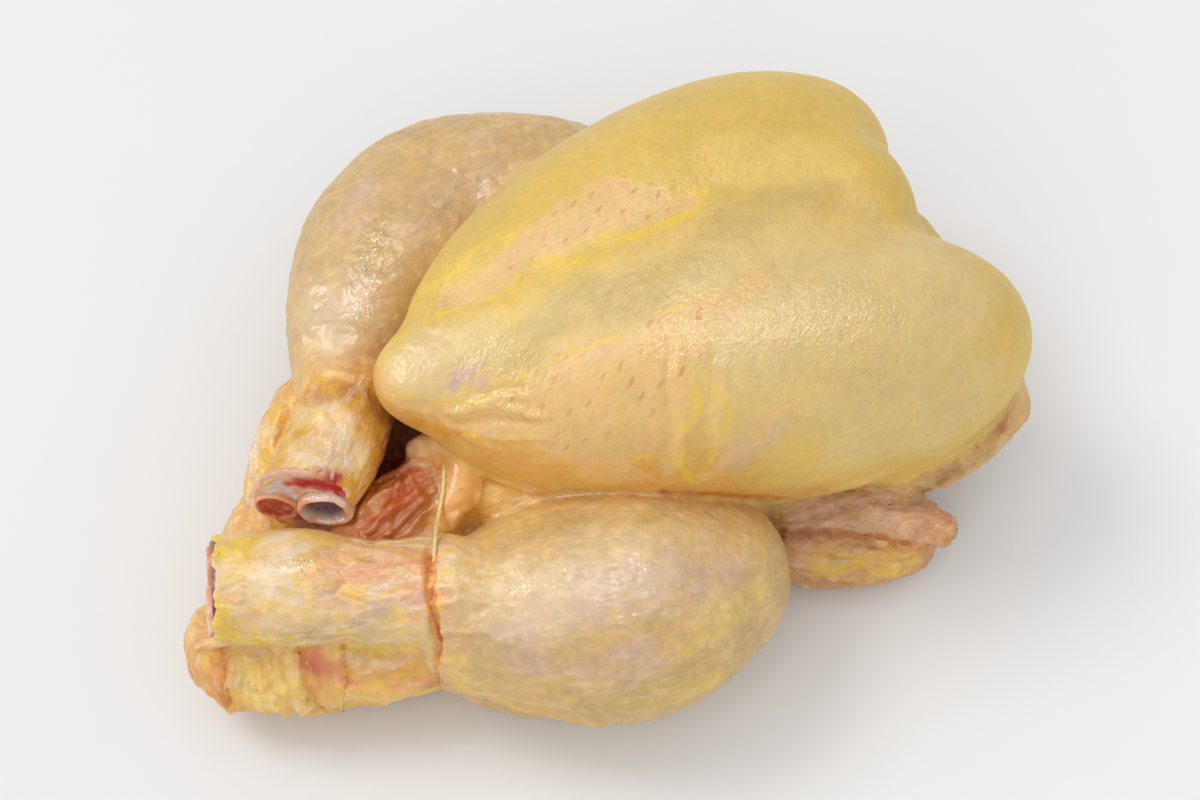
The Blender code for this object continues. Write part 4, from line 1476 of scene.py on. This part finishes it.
def follicle_group():
    """A mark at each follicle, from coordinates with one in each whole square.

    Marks are longer than they are wide, and lean across their row.
    """
    tree, given, result = new_group("follicle marks", {"Places": "vector"}, {"Mark": "number"})
    parts = add_node(tree, "ShaderNodeSeparateXYZ", {0: given["Places"]}).outputs
    along, across, strength = (Wire(parts[axis]) for axis in "XYZ")
    row = across.maths("FLOOR")
    run = along + row.maths("FLOORED_MODULO", 2.0) * 0.5
    square = run.maths("FLOOR")
    x, y = run - square - 0.5, across - row - 0.5
    corner = wire(tree, "ShaderNodeCombineXYZ", {"X": square, "Y": row, "Z": 3.0})
    chance = wire(tree, "ShaderNodeTexWhiteNoise", {"Vector": corner}, "Value")
    long, wide = MARK_LEAN
    lean_x = x * long + y * wide
    lean_y = (y * long - x * wide) * MARK_NARROWNESS
    gap = (lean_x.maths("POWER", 2.0) + lean_y.maths("POWER", 2.0)).maths("SQRT")
    gap += (grain(millimetres(tree), 1.1, 2.0, 0.6) - 0.5) * 0.34
    reach = chance.slope(0.05, 0.9, 0.08, 0.30) + 0.06
    strength *= chance.slope(0.15, 0.9, 0.1, 1.0)
    plug(result["Mark"], (reach - gap).slope(0.0, 0.16) * strength)
    return tree


def moist_group():
    """The finest relief of wet skin: its slickness, lengthwise furrows and a crinkled film, and where the
    furrows lie low, for the painted shade in them.
    """
    takes = {"Places": "vector", "Wrinkled": "number", "Crinkled": "number", "Wet": "number"}
    tree, given, result = new_group("moist relief", takes, {"Height": "number", "Furrow Shade": "number"})
    streaks = grain(given["Places"], 1.6, 4.0, 0.62, 25.0)
    height = grain(millimetres(tree), 1.6, 3.0, 0.6) * (given["Wet"] * 0.30 + 0.22)
    height += streaks * (given["Wrinkled"] * 0.85)
    height += grain(millimetres(tree), 0.6, 2.0, 0.5, 15.0) * 0.06
    height += grain(given["Places"], 0.9, 2.0, 0.65) * (given["Crinkled"] * 0.34)
    plug(result["Height"], height)
    plug(result["Furrow Shade"], streaks.slope(0.44, 0.30))
    return tree


def goose_group():
    """Stretched goose bumps: how much each place is on a crown."""
    tree, given, result = new_group("goose bumps", {"Places": "vector"}, {"Crown": "number"})
    feeds = {"Vector": given["Places"], "Scale": 1 / CROWN_SIZE, "Randomness": 0.95}
    dots = add_node(tree, "ShaderNodeTexVoronoi", feeds).outputs
    crown = Wire(dots["Distance"]).slope(0.52, 0.05)
    size = wire(tree, "ShaderNodeSeparateColor", {0: Wire(dots["Color"])})
    plug(result["Crown"], crown * size.slope(0.1, 0.8, 0.25, 1.0))
    return tree


def marble_group():
    """Fat, pale sinew and pink flesh that show through thin skin in ragged patches."""
    takes = {"Tone": "colour", "Places": "vector", "Strength": "number"}
    tree, given, result = new_group("marbling", takes, {"Colour": "colour"})
    colour = given["Tone"]
    for tone, size, low, high, most, shift in MARBLING:
        share = grain(given["Places"], size, 2.0, 0.68, shift).slope(low, high, 0.0, most)
        colour = lay(colour, tone, share * given["Strength"])
    plug(result["Colour"], colour)
    return tree


def speck_group():
    """Tiny dark specks, a few in each square centimetre, that come in patches."""
    tree, _, result = new_group("specks", {}, {"Speck": "number"})
    places = millimetres(tree)
    feeds = {"Vector": places, "Scale": 1 / SPECK_SPACING, "Randomness": 1.0}
    near = wire(tree, "ShaderNodeTexVoronoi", feeds, "Distance").slope(0.055, 0.03)
    patchy = grain(places, 30.0, 1.0, 0.5, 60.0).slope(0.47, 0.56)
    plug(result["Speck"], near * patchy)
    return tree


def new_material(name, roughness, flesh_depth, shine=0.45):
    """A material, its tree and its shader, with light let some way into it."""
    material = bpy.data.materials.new(name)
    material.use_nodes = True
    shader = material.node_tree.nodes["Principled BSDF"]
    values = {"Roughness": roughness, "IOR": 1.46, "Specular IOR Level": shine}
    if flesh_depth:
        values["Subsurface Weight"] = 0.22
        values["Subsurface Radius"] = (1.0, 0.62, 0.34)
        values["Subsurface Scale"] = flesh_depth * MM
    for title, value in values.items():
        shader.inputs[title].default_value = value
    return material, material.node_tree, shader


def finish_material(shader, colour, roughness, height):
    """Feeds the shader with a colour, a roughness and a relief in millimetres."""
    feeds = {"Height": height, "Distance": MM, "Strength": BUMP_STRENGTH}
    plug(shader.inputs["Base Color"], colour)
    plug(shader.inputs["Roughness"], roughness)
    plug(shader.inputs["Normal"], wire(height.tree, "ShaderNodeBump", feeds, "Normal"))


def skin_material(groups):
    material, tree, shader = new_material("raw_skin", 0.36, 2.6)
    places = millimetres(tree)
    way = reading(tree, "lengthwise", "Vector")
    wet, wrinkled, on_breast = (reading(tree, name) for name in ("wet", "wrinkled", "film"))
    film = put_group(tree, groups["film"], Depth=reading(tree, "bare"))
    bare, rim = film["Bare"] * on_breast, film["Rim"] * on_breast
    marks = put_group(tree, groups["follicle"], Places=reading(tree, "follicles", "Vector"))
    specks = put_group(tree, groups["specks"])
    crown = put_group(tree, groups["goose"], Places=way)["Crown"] * reading(tree, "goose_bump")
    feeds = {"Places": way, "Wrinkled": wrinkled, "Crinkled": reading(tree, "crinkled"), "Wet": wet}
    moist = put_group(tree, groups["moist"], **feeds)

    pinker = grain(places, 7.0, 2.0, 0.6, 300.0).slope(0.40, 0.64, 0.0, 0.7)
    colour = reading(tree, "tone", "Color")
    colour = lay(colour, lay("bare", "bare_pink", pinker), bare * 0.68)
    feeds = {"Tone": colour, "Places": way, "Strength": reading(tree, "marbled")}
    colour = put_group(tree, groups["marble"], **feeds)["Colour"]
    uneven = on_breast.slope(0.0, 1.0, 1.15, 0.6)
    colour = put_group(tree, groups["mottle"], Tone=colour, Strength=uneven)["Colour"]
    colour = lay(colour, "yellow", rim * 0.75)
    colour = lay(colour, "mark", marks["Mark"] * (bare * 0.65 + 0.35) * 0.7)
    colour = lay(colour, "brown", specks["Speck"] * 0.6)
    colour = lay(colour, "white", crown * 0.42)
    # painted shade: the low furrows of the lengthwise streaks are darkened
    colour = lay(colour, FURROW_SHADE_TINT, moist["Furrow Shade"] * wrinkled * 0.6, "MULTIPLY")
    # painted shade: creases, grooves and nooks close to other skin are darkened
    colour = lay(colour, CREASE_SHADE_TINT, reading(tree, "crease_shade") * 0.9, "MULTIPLY")

    rough = grain(places, 11.0, 2.0, 0.55, 200.0).slope(0.38, 0.66, 0.40, 0.30)
    rough = (rough + on_breast * 0.04 - wet * 0.32).maths("MAXIMUM", LEAST_ROUGHNESS)
    finish_material(shader, colour, rough, moist["Height"] + crown * 0.35)
    return material


def toned_material(groups, name, roughness, flesh_depth, wrinkled, strength):
    """A material for a small piece whose colour is painted on it."""
    material, tree, shader = new_material(name, roughness, flesh_depth)
    places, tone = millimetres(tree), reading(tree, "tone", "Color")
    moist = put_group(tree, groups["moist"], Places=places, Wrinkled=wrinkled, Wet=0.6)
    colour = put_group(tree, groups["mottle"], Tone=tone, Strength=strength)["Colour"]
    rough = grain(places, 2.4).slope(0.35, 0.65, roughness + 0.08, roughness - 0.08)
    finish_material(shader, colour, rough, moist["Height"])
    return material


def spongy_material(groups):
    """Cut bone full of marrow: red holes in a net of paler bone."""
    material, tree, shader = new_material("spongy_bone", 0.35, 1.5)
    places = millimetres(tree)
    feeds = {"Vector": places, "Scale": 1 / MARROW_HOLE}
    holes = wire(tree, "ShaderNodeTexVoronoi", feeds, "Distance", feature="DISTANCE_TO_EDGE")
    net = holes.slope(0.16, 0.02) * grain(places, 2.2).slope(0.4, 0.62)
    colour = lay(reading(tree, "tone", "Color"), "pink", net * 0.55)
    colour = put_group(tree, groups["mottle"], Tone=colour, Strength=1.4)["Colour"]
    rough = grain(places, 1.5).slope(0.35, 0.65, 0.45, 0.25)
    finish_material(shader, colour, rough, net * 0.25)
    return material


def thread_material(groups):
    material, tree, shader = new_material("elastic_thread", 0.62, 0)
    places = millimetres(tree)
    tone = lay("thread", "fat", grain(places, 7.0).slope(0.4, 0.7))
    colour = put_group(tree, groups["mottle"], Tone=tone, Strength=0.8)["Colour"]
    rough = grain(places, 2.5).slope(0.3, 0.7, 0.48, 0.72)
    finish_material(shader, colour, rough, grain(places, 0.22, 2.0, 0.6) * 0.12)
    return material


def bit_material(groups, name, tone, roughness):
    """A material for the crumbs or the stubs of one kind."""
    material, tree, shader = new_material(name, roughness, 0.8)
    places = millimetres(tree)
    tone = lay(tone, "film", grain(places, 4.0).slope(0.4, 0.62))
    colour = put_group(tree, groups["mottle"], Tone=tone, Strength=1.2)["Colour"]
    rough = grain(places, 1.2).slope(0.3, 0.7, roughness - 0.08, roughness + 0.08)
    finish_material(shader, colour, rough, grain(places, 0.5) * 0.06)
    return material


def floor_material():
    material, tree, shader = new_material("pale_floor", 0.6, 0, 0.15)
    places = millimetres(tree)
    colour = lay(*FLOOR_TONES, grain(places, 260.0, 2.0, 0.5).slope(0.3, 0.7))
    rough = grain(places, 60.0).slope(0.3, 0.7, 0.58, 0.66)
    finish_material(shader, colour, rough, grain(places, 1.4) * 0.01)
    return material


# ---------------------------------------------------------------- the cut hocks


def turned_piece(name, hock, salt, middle, radii, lean, profile, sides, wobble, rough):
    """A closed oval piece in a cut. The profile is shares of the radius and heights."""
    rings = smooth_path([(share, height, 0) for share, height in profile], 3)[:, :2]
    angles = np.arange(sides) / sides * 2 * math.pi
    spun = np.stack([np.cos(angles), np.sin(angles), np.zeros(sides)], 1)
    uneven = 1 + wobble * noise(spun * 1.3, 1.0, salt)
    turn = math.radians(lean)
    places = []
    for share, height in rings[1:-1]:
        x, y = share * radii[0] * spun[:, 0] * uneven, share * radii[1] * spun[:, 1] * uneven
        x, y = x * math.cos(turn) - y * math.sin(turn), x * math.sin(turn) + y * math.cos(turn)
        places.append(hock_place(hock, middle[0] + x, middle[1] + y, np.full(sides, height)))
    top = hock_place(hock, middle[0], middle[1], rings[0][1])
    bottom = hock_place(hock, middle[0], middle[1], rings[-1][1])
    points = np.vstack(places + [top[None], bottom[None]])
    grit = noise(points, 2.2, salt) + 0.6 * noise(points, 1.0, salt + 1)
    points += np.outer(rough * grit, hock_normal(hock))
    faces = []
    count = len(places)
    for ring in range(count - 1):
        for side in range(sides):
            after = (side + 1) % sides
            a, b = ring * sides, (ring + 1) * sides
            faces.append((a + side, b + side, b + after, a + after))
    last = (count - 1) * sides
    for side in range(sides):
        after = (side + 1) % sides
        faces.append((count * sides, side, after))
        faces.append((count * sides + 1, last + after, last + side))
    mesh = mesh_from(name, points, faces)
    shares = np.concatenate([np.repeat(rings[1:-1, 0], sides), [0, 0]])
    heights = np.concatenate([np.repeat(rings[1:-1, 1], sides), [rings[0][1], rings[-1][1]]])
    return mesh, points, shares, heights


CUP_PROFILE = [
    (0, -5.4),
    (0.30, -5.4),
    (0.50, -5.0),
    (0.62, -3.4),
    (0.70, -1.2),
    (0.77, 0.5),
    (0.84, 0.95),
    (0.92, 0.8),
    (1.0, 0.1),
    (1.02, -1.6),
    (1.0, -5.0),
    (0.6, -6.4),
    (0, -6.4),
]
SPONGE_PROFILE = [
    (0, -0.5),
    (0.35, -0.5),
    (0.66, -0.4),
    (0.80, 0.1),
    (0.90, 0.4),
    (0.98, -0.1),
    (1.02, -1.2),
    (1.0, -3.8),
    (0.6, -4.6),
    (0, -4.6),
]
FACE_PROFILE = [
    (0, -1.5),
    (0.25, -1.5),
    (0.5, -1.3),
    (0.72, -1.0),
    (0.90, -0.8),
    (0.99, -1.2),
    (1.03, -2.2),
    (0.9, -3.8),
    (0.4, -4.2),
    (0, -4.2),
]
# How far out each cut face stands, and how its blood darkens it.
FACE_OUT = {"left": 0.9, "right": 0.8}
FACE_SHADE = {"left": (0.45, 0.30, 0.30), "right": (1, 1, 1)}
# The pieces in a cut: middle, radii, lean in degrees, profile, sides, how far from round the
# piece is, and how rough.
CUT_PIECES = {
    "cut_flesh": ((0.0, 0.0), (14.4, 14.0), 0.0, FACE_PROFILE, 72, 0.03, 0.35),
    "cup_bone": (CUP_MIDDLE, CUP_RADII, 0.0, CUP_PROFILE, 48, 0.11, 0.30),
    "spongy_bone": ((-8.0, -3.0), (6.8, 5.4), -22.0, SPONGE_PROFILE, 40, 0.10, 0.20),
}
FIRST_CUT_SALT = 80
CUP_PRESS = 5.6
# Patches on a cut: tone, strength, radius, and the places across and up it.
FACE_PATCHES = [
    ("cartilage", 0.9, 3.2, [(-10, 4), (-6, 6.5), (-2, 4)]),
    ("cartilage", 0.8, 2.0, [(-1.5, 1), (-0.5, -3), (2, -7)]),
    ("white", 0.6, 2.6, [(1, 6), (6, 6.5), (10, 5)]),
    ("granule", 0.8, 2.2, [(-3, 8.5), (0, 7), (-1, 4)]),
    ("blood", 1.0, 2.3, [(0, 9.5), (5, 9.8), (9, 8.6), (12, 5.5)]),
    ("blood", 0.8, 1.3, [(-4, 8), (0, 7.5), (4, 7.0), (7, 6.8)]),
    ("muscle", 0.95, 3.0, [(-4, -6.5), (0, -8), (3, -9)]),
    ("yellow", 0.7, 1.6, [(-12, -4), (-10, -8), (-5, -11)]),
    ("pink", 0.6, 2.2, [(-12, 1), (-13, 5)]),
]


def paint(mesh, tone):
    """Gives a small piece its colours, one for each vertex."""
    add_values(mesh, "tone", np.hstack([np.clip(tone, 0, 1), np.ones((len(tone), 1))]))


def face_tone(points, hock):
    """The cut flesh, with its patches of gristle, fat, muscle and blood."""
    tone = np.tile(TONES["flesh"], (len(points), 1))
    moved = wander(points, 0.7, 2.0, 9)
    for name, strength, radius, path in FACE_PATCHES:
        places = [tuple(hock_place(hock, across, up, -0.8)) for across, up in path]
        mask = strength * patch_mask(moved, radius, thin_line(places))
        tone += mask[:, None] * (TONES[name] - tone)
    return tone


def cup_tone(points, shares, heights, salt):
    """Pink and white at the bone's rim, and purple grey down in its hollow: partly its own colour, partly
    painted shade that deepens with depth.
    """
    pink = smooth_step(noise(points, 5.0, salt), -0.25, 0.35) * 0.7
    rim = TONES["bone"] + pink[:, None] * (TONES["granule"] - TONES["bone"])
    down = smooth_step(heights, 0.4, -3.4) * (shares < 0.8)
    return rim + down[:, None] * (TONES["hollow"] - rim)


def sponge_tone(points, shares, salt):
    """Red marrow with blotches of blood, inside a rim of pinker bone."""
    rim = smooth_step(shares + 0.06 * noise(points, 2.0, salt), 0.72, 0.92)
    blotch = smooth_step(noise(points, 1.6, salt + 1), -0.2, 0.5)
    red = TONES["marrow"] + blotch[:, None] * (TONES["blood"] - TONES["marrow"]) * 0.6
    return red + rim[:, None] * (TONES["granule"] - red)


def sink_under_cup(points, hock):
    """The cut flesh pressed down where the hollow bone stands, out of its hollow."""
    side = hock_place(hock, 1, 0, 0) - hock[0]
    top = hock_place(hock, 0, 1, 0) - hock[0]
    across = ((points - hock[0]) @ side - CUP_MIDDLE[0]) / CUP_RADII[0]
    up = ((points - hock[0]) @ top - CUP_MIDDLE[1]) / CUP_RADII[1]
    sunk = smooth_step(np.hypot(across, up), 0.98, 0.78)
    return points - np.outer(CUP_PRESS * sunk, hock_normal(hock))


def make_hock(side, hock, materials):
    """The cut face of one hock: flesh, a bone with a hollow and a spongy one."""
    hock = (tuple(np.array(hock[0]) + hock_normal(hock) * FACE_OUT[side]), hock[1])
    made = []
    for salt, (kind, sizes) in enumerate(CUT_PIECES.items(), FIRST_CUT_SALT):
        name = f"{side}_{kind}"
        mesh, points, shares, heights = turned_piece(name, hock, salt, *sizes)
        if kind == "cut_flesh":
            tone = face_tone(points, hock) * FACE_SHADE[side]
            points = sink_under_cup(points, hock)
        elif kind == "cup_bone":
            tone = cup_tone(points, shares, heights, salt)
        else:
            tone = sponge_tone(points, shares, salt)
        paint(mesh, tone)
        move_vertices(mesh, to_frame(points))
        mesh.materials.append(materials[kind])
        piece = new_object(name, mesh)
        shade_smooth(piece)
        made.append(piece)
    return made


# ---------------------------------------------------------------- thread, by Geometry Nodes


def finish_shape(made, material, result):
    """A Geometry Nodes tree's last steps: real faces, smooth shading and the material."""
    steps = {
        "GeometryNodeRealizeInstances": {},
        "GeometryNodeSetShadeSmooth": {},
        "GeometryNodeSetMaterial": {"Material": material},
    }
    for kind, feeds in steps.items():
        made = wire(made.tree, kind, {"Geometry": made, **feeds})
    plug(result, made)


def thread_tree(material):
    """A tree that lays several plies in a twist along a closed curve."""
    takes = {"Route": "shape", "Ply Radius": "number", "Twist Pitch": "number", "Step": "number"}
    tree, given, result = new_group("twisted thread", takes, {"Thread": "shape"}, "GeometryNodeTree")
    feeds = {"Curve": given["Route"], "Length": given["Step"]}
    line = wire(tree, "GeometryNodeResampleCurve", feeds, mode="LENGTH")
    length = wire(tree, "GeometryNodeCurveLength", {"Curve": line})
    turns = (length / given["Twist Pitch"]).maths("ROUND")
    angle = wire(tree, "GeometryNodeSplineParameter", output="Factor") * turns * (2 * math.pi)
    normal = wire(tree, "GeometryNodeInputNormal")
    tangent = wire(tree, "GeometryNodeInputTangent")
    feeds = {"Resolution": PLY_SIDES, "Radius": given["Ply Radius"]}
    circle = wire(tree, "GeometryNodeCurvePrimitiveCircle", feeds, "Curve")
    join = tree.nodes.new("GeometryNodeJoinGeometry")
    for ply in range(THREAD_PLIES):
        phase = angle + 2 * math.pi * ply / THREAD_PLIES
        feeds = {"Vector": normal, "Axis": tangent, "Angle": phase}
        outwards = wire(tree, "ShaderNodeVectorRotate", feeds)
        feeds = {"Geometry": line, "Offset": outwards.scaled(given["Ply Radius"] * PLY_SPREAD)}
        moved = wire(tree, "GeometryNodeSetPosition", feeds)
        feeds = {"Curve": moved, "Profile Curve": circle}
        plug(join.inputs[0], wire(tree, "GeometryNodeCurveToMesh", feeds))
    finish_shape(Wire(join.outputs[0]), material, result["Thread"])
    return tree


def run_tree(obj, tree, sizes):
    """Evaluates a Geometry Nodes tree on an object and returns the plain mesh it makes."""
    modifier = obj.modifiers.new("made by nodes", "NODES")
    modifier.node_group = tree
    for item in tree.interface.items_tree:
        if item.name in sizes:
            modifier[item.identifier] = sizes[item.name]
    graph = bpy.context.evaluated_depsgraph_get()
    made = bpy.data.meshes.new_from_object(obj.evaluated_get(graph))
    obj.modifiers.remove(modifier)
    return made


def make_thread(material):
    curve = bpy.data.curves.new("thread_route", "CURVE")
    curve.dimensions = "3D"
    curve.resolution_u = 16
    spline = curve.splines.new("BEZIER")
    spline.bezier_points.add(len(THREAD_ROUTE) - 1)
    spline.use_cyclic_u = True
    for point, place in zip(spline.bezier_points, THREAD_ROUTE):
        point.co = to_frame(place)
        point.handle_left_type = "AUTO"
        point.handle_right_type = "AUTO"
    guide = new_object("thread_route", curve)
    sizes = {
        "Ply Radius": THREAD_PLY_RADIUS * MM,
        "Twist Pitch": THREAD_TWIST_PITCH * MM,
        "Step": THREAD_STEP * MM,
    }
    mesh = run_tree(guide, thread_tree(material), sizes)
    mesh.name = "elastic_thread"
    bpy.data.objects.remove(guide)
    return new_object("elastic_thread", mesh)


# ---------------------------------------------------------------- crumbs and quill stubs

# Where crumbs of fat and quill stubs are found: how many to a square millimetre at most,
# the radius of the place, and its path.
CRUMB_PLACES = [
    (0.03, 4, [(-112, -46, 36), (-102, -50, 35), (-94, -52, 35)]),
    (0.012, 9, [(-110, -52, 26), (-90, -60, 22), (-72, -64, 24)]),
    (0.04, 4, [(-120, -14, 62), (-121, -34, 58), (-122, -41, 48)]),
    (0.03, 6, [(48, -58, 52), (66, -60, 54), (88, -60, 52)]),
    (0.03, 4, [(-96, 16, 54), (-86, 22, 60), (-76, 14, 72)]),
    (0.03, 4, [(-42, -6, 57), (-44, -18, 58), (-52, -26, 56)]),
]
QUILL_PLACES = [
    (0.06, 5, [(46, -62, 30), (60, -66, 28), (76, -72, 24)]),
    (0.03, 8, [(-76, 42, 58), (-68, 62, 50), (-50, 78, 50)]),
    (0.03, 7, [(-110, -54, 22), (-90, -62, 18), (-72, -64, 20)]),
    (0.015, 14, [(0, -92, 48), (16, -86, 50)]),
    (0.012, 16, [(-10, 92, 44), (20, 84, 40)]),
]
CRUMB_SIZES = (0.15, 0.5)
QUILL_SIZES = (0.8, 1.9)
CRUMB_STRETCH = (1.5, 0.7, 0.5)


def place_shares(points, block, places):
    """How many bits there are to a square metre at each place of the skin."""
    total = np.zeros(len(points))
    for most, radius, path in places:
        total = np.maximum(total, most / MM**2 * patch_mask(points, radius, thin_line(path, block)))
    return total


def crumb_shape(tree):
    ball = wire(tree, "GeometryNodeMeshIcoSphere", {"Radius": 1.0, "Subdivisions": 2}, "Mesh")
    feeds = {"Vector": wire(tree, "GeometryNodeInputPosition"), "Scale": 0.9}
    lumpy = wire(tree, "ShaderNodeTexNoise", feeds, "Color")
    feeds = {"Geometry": ball, "Offset": lumpy.shifted((-0.5, -0.5, -0.5)).scaled(1.1)}
    feeds = {"Geometry": wire(tree, "GeometryNodeSetPosition", feeds), "Scale": CRUMB_STRETCH}
    return wire(tree, "GeometryNodeTransform", feeds)


def quill_shape(tree):
    feeds = {"Vertices": 6, "Radius Top": 0.03, "Radius Bottom": 0.10, "Depth": 1.0}
    return wire(tree, "GeometryNodeMeshCone", feeds, "Mesh")


def scatter_tree(name, shape, material, lean):
    """A tree that strews a small shape over a mesh, as thickly as its own attribute says."""
    takes = {"Skin": "shape", "Smallest": "number", "Largest": "number", "Seed": "whole"}
    tree, given, result = new_group(name, takes, {"Bits": "shape"}, "GeometryNodeTree")
    seed = given["Seed"]
    feeds = {"Name": name}
    density = wire(tree, "GeometryNodeInputNamedAttribute", feeds, "Attribute", data_type="FLOAT")
    feeds = {"Mesh": given["Skin"], "Density": density, "Seed": seed}
    strewn = add_node(tree, "GeometryNodeDistributePointsOnFaces", feeds).outputs
    feeds = {0: (-lean, -lean, 0.0), 1: (lean, lean, 2 * math.pi), "Seed": seed}
    turn = wire(tree, "FunctionNodeRandomValue", feeds, data_type="FLOAT_VECTOR")
    feeds = {"Rotation": Wire(strewn["Rotation"]), "Rotate By": turn}
    turned = wire(tree, "FunctionNodeRotateRotation", feeds, rotation_space="LOCAL")
    feeds = {2: given["Smallest"], 3: given["Largest"], "Seed": seed}
    size = wire(tree, "FunctionNodeRandomValue", feeds, 1, data_type="FLOAT")
    feeds = {"Points": Wire(strewn["Points"]), "Instance": shape(tree), "Rotation": turned, "Scale": size}
    finish_shape(wire(tree, "GeometryNodeInstanceOnPoints", feeds), material, result["Bits"])
    return tree


def make_bits(skin, name, shape, material, sizes, lean, seed):
    feeds = {"Smallest": sizes[0] * MM, "Largest": sizes[1] * MM, "Seed": seed}
    mesh = run_tree(skin, scatter_tree(name, shape, material, lean), feeds)
    mesh.name = name
    return new_object(name, mesh)


# ---------------------------------------------------------------- light and camera

# The camera looks at the target from this far away, in metres, and this way round and up.
VIEW_AZIMUTH = -22.0
VIEW_ELEVATION = 62.0
VIEW_DISTANCE = 0.90
VIEW_TARGET = (6.0, -4.0, 45.0)
LENS = 89.1
SENSOR_WIDTH = 36
FLOOR_SIZE = 3.2
# Each lamp is the way to it, its strength, how wide it looks in degrees, and whether it only
# glints on what is wet.
LAMPS = {
    "key": ((-0.40, 0.42, 0.82), 0.82, 26.0, False),
    "fill": ((-0.50, -0.55, 0.67), 0.34, 60.0, False),
    "window": ((0.02, 0.03, 1.0), 2.5, 7.0, True),
    "side_window": ((-0.77, 0.36, 0.52), 2.6, 7.0, True),
}
LAMP_COLOUR = (1.0, 0.99, 0.97)
WORLD_COLOUR = (0.98, 0.99, 1.0, 1.0)
WORLD_STRENGTH = 0.78


def make_camera():
    turn, lift = math.radians(VIEW_AZIMUTH), math.radians(VIEW_ELEVATION)
    back = Vector((math.sin(turn) * math.cos(lift), -math.cos(turn) * math.cos(lift), math.sin(lift)))
    camera = bpy.data.cameras.new("camera")
    camera.lens = LENS
    camera.sensor_width = SENSOR_WIDTH
    obj = new_object("camera", camera)
    obj.location = Vector(to_frame(VIEW_TARGET)) + back * VIEW_DISTANCE
    obj.rotation_euler = (-back).to_track_quat("-Z", "Y").to_euler()
    bpy.context.scene.camera = obj


def make_lights():
    world = bpy.data.worlds.new("studio")
    world.use_nodes = True
    background = world.node_tree.nodes["Background"]
    background.inputs["Color"].default_value = WORLD_COLOUR
    background.inputs["Strength"].default_value = WORLD_STRENGTH
    bpy.context.scene.world = world
    for name, (towards, strength, width, only_glints) in LAMPS.items():
        light = bpy.data.lights.new(name, "SUN")
        light.energy = strength
        light.angle = math.radians(width)
        light.color = LAMP_COLOUR
        lamp = new_object(name, light)
        lamp.rotation_euler = Vector(towards).to_track_quat("Z", "Y").to_euler()
        lamp.visible_diffuse = not only_glints


def make_floor():
    half = FLOOR_SIZE / 2
    corners = [(-half, -half, 0), (half, -half, 0), (half, half, 0), (-half, half, 0)]
    floor = new_object("floor", mesh_from("floor", corners, [(0, 1, 2, 3)]))
    floor.data.materials.append(floor_material())


def attach(piece, node):
    """Makes a piece stand for its CAD node."""
    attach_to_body(piece, "root")
    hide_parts(node)


def main():
    groups = {
        "mottle": mottle_group(),
        "film": film_group(),
        "follicle": follicle_group(),
        "moist": moist_group(),
        "specks": speck_group(),
        "goose": goose_group(),
        "marble": marble_group(),
    }
    materials = {
        "cut_flesh": toned_material(groups, "cut_flesh", 0.28, 1.6, 0.6, 1.0),
        "cup_bone": toned_material(groups, "cup_bone", 0.30, 1.2, 0.1, 0.4),
        "spongy_bone": spongy_material(groups),
    }
    skin = make_skin(make_lumps())
    skin.data.materials.append(skin_material(groups))
    fat = bit_material(groups, "fat_crumb", "fat", 0.34)
    quill = bit_material(groups, "quill", "orange", 0.42)
    crumbs = make_bits(skin, "fat_crumbs", crumb_shape, fat, CRUMB_SIZES, lean=0.3, seed=4)
    stubs = make_bits(skin, "quill_stubs", quill_shape, quill, QUILL_SIZES, lean=0.9, seed=9)
    for piece in (skin, crumbs, stubs):
        attach(piece, "chicken")
    for side, hock in (("left", LEFT_HOCK), ("right", RIGHT_HOCK)):
        for piece in make_hock(side, hock, materials):
            attach(piece, "chicken")
    attach(make_thread(thread_material(groups)), "truss_thread")
    make_camera()
    make_lights()
    make_floor()
    bpy.context.scene.view_settings.view_transform = "Standard"


main()
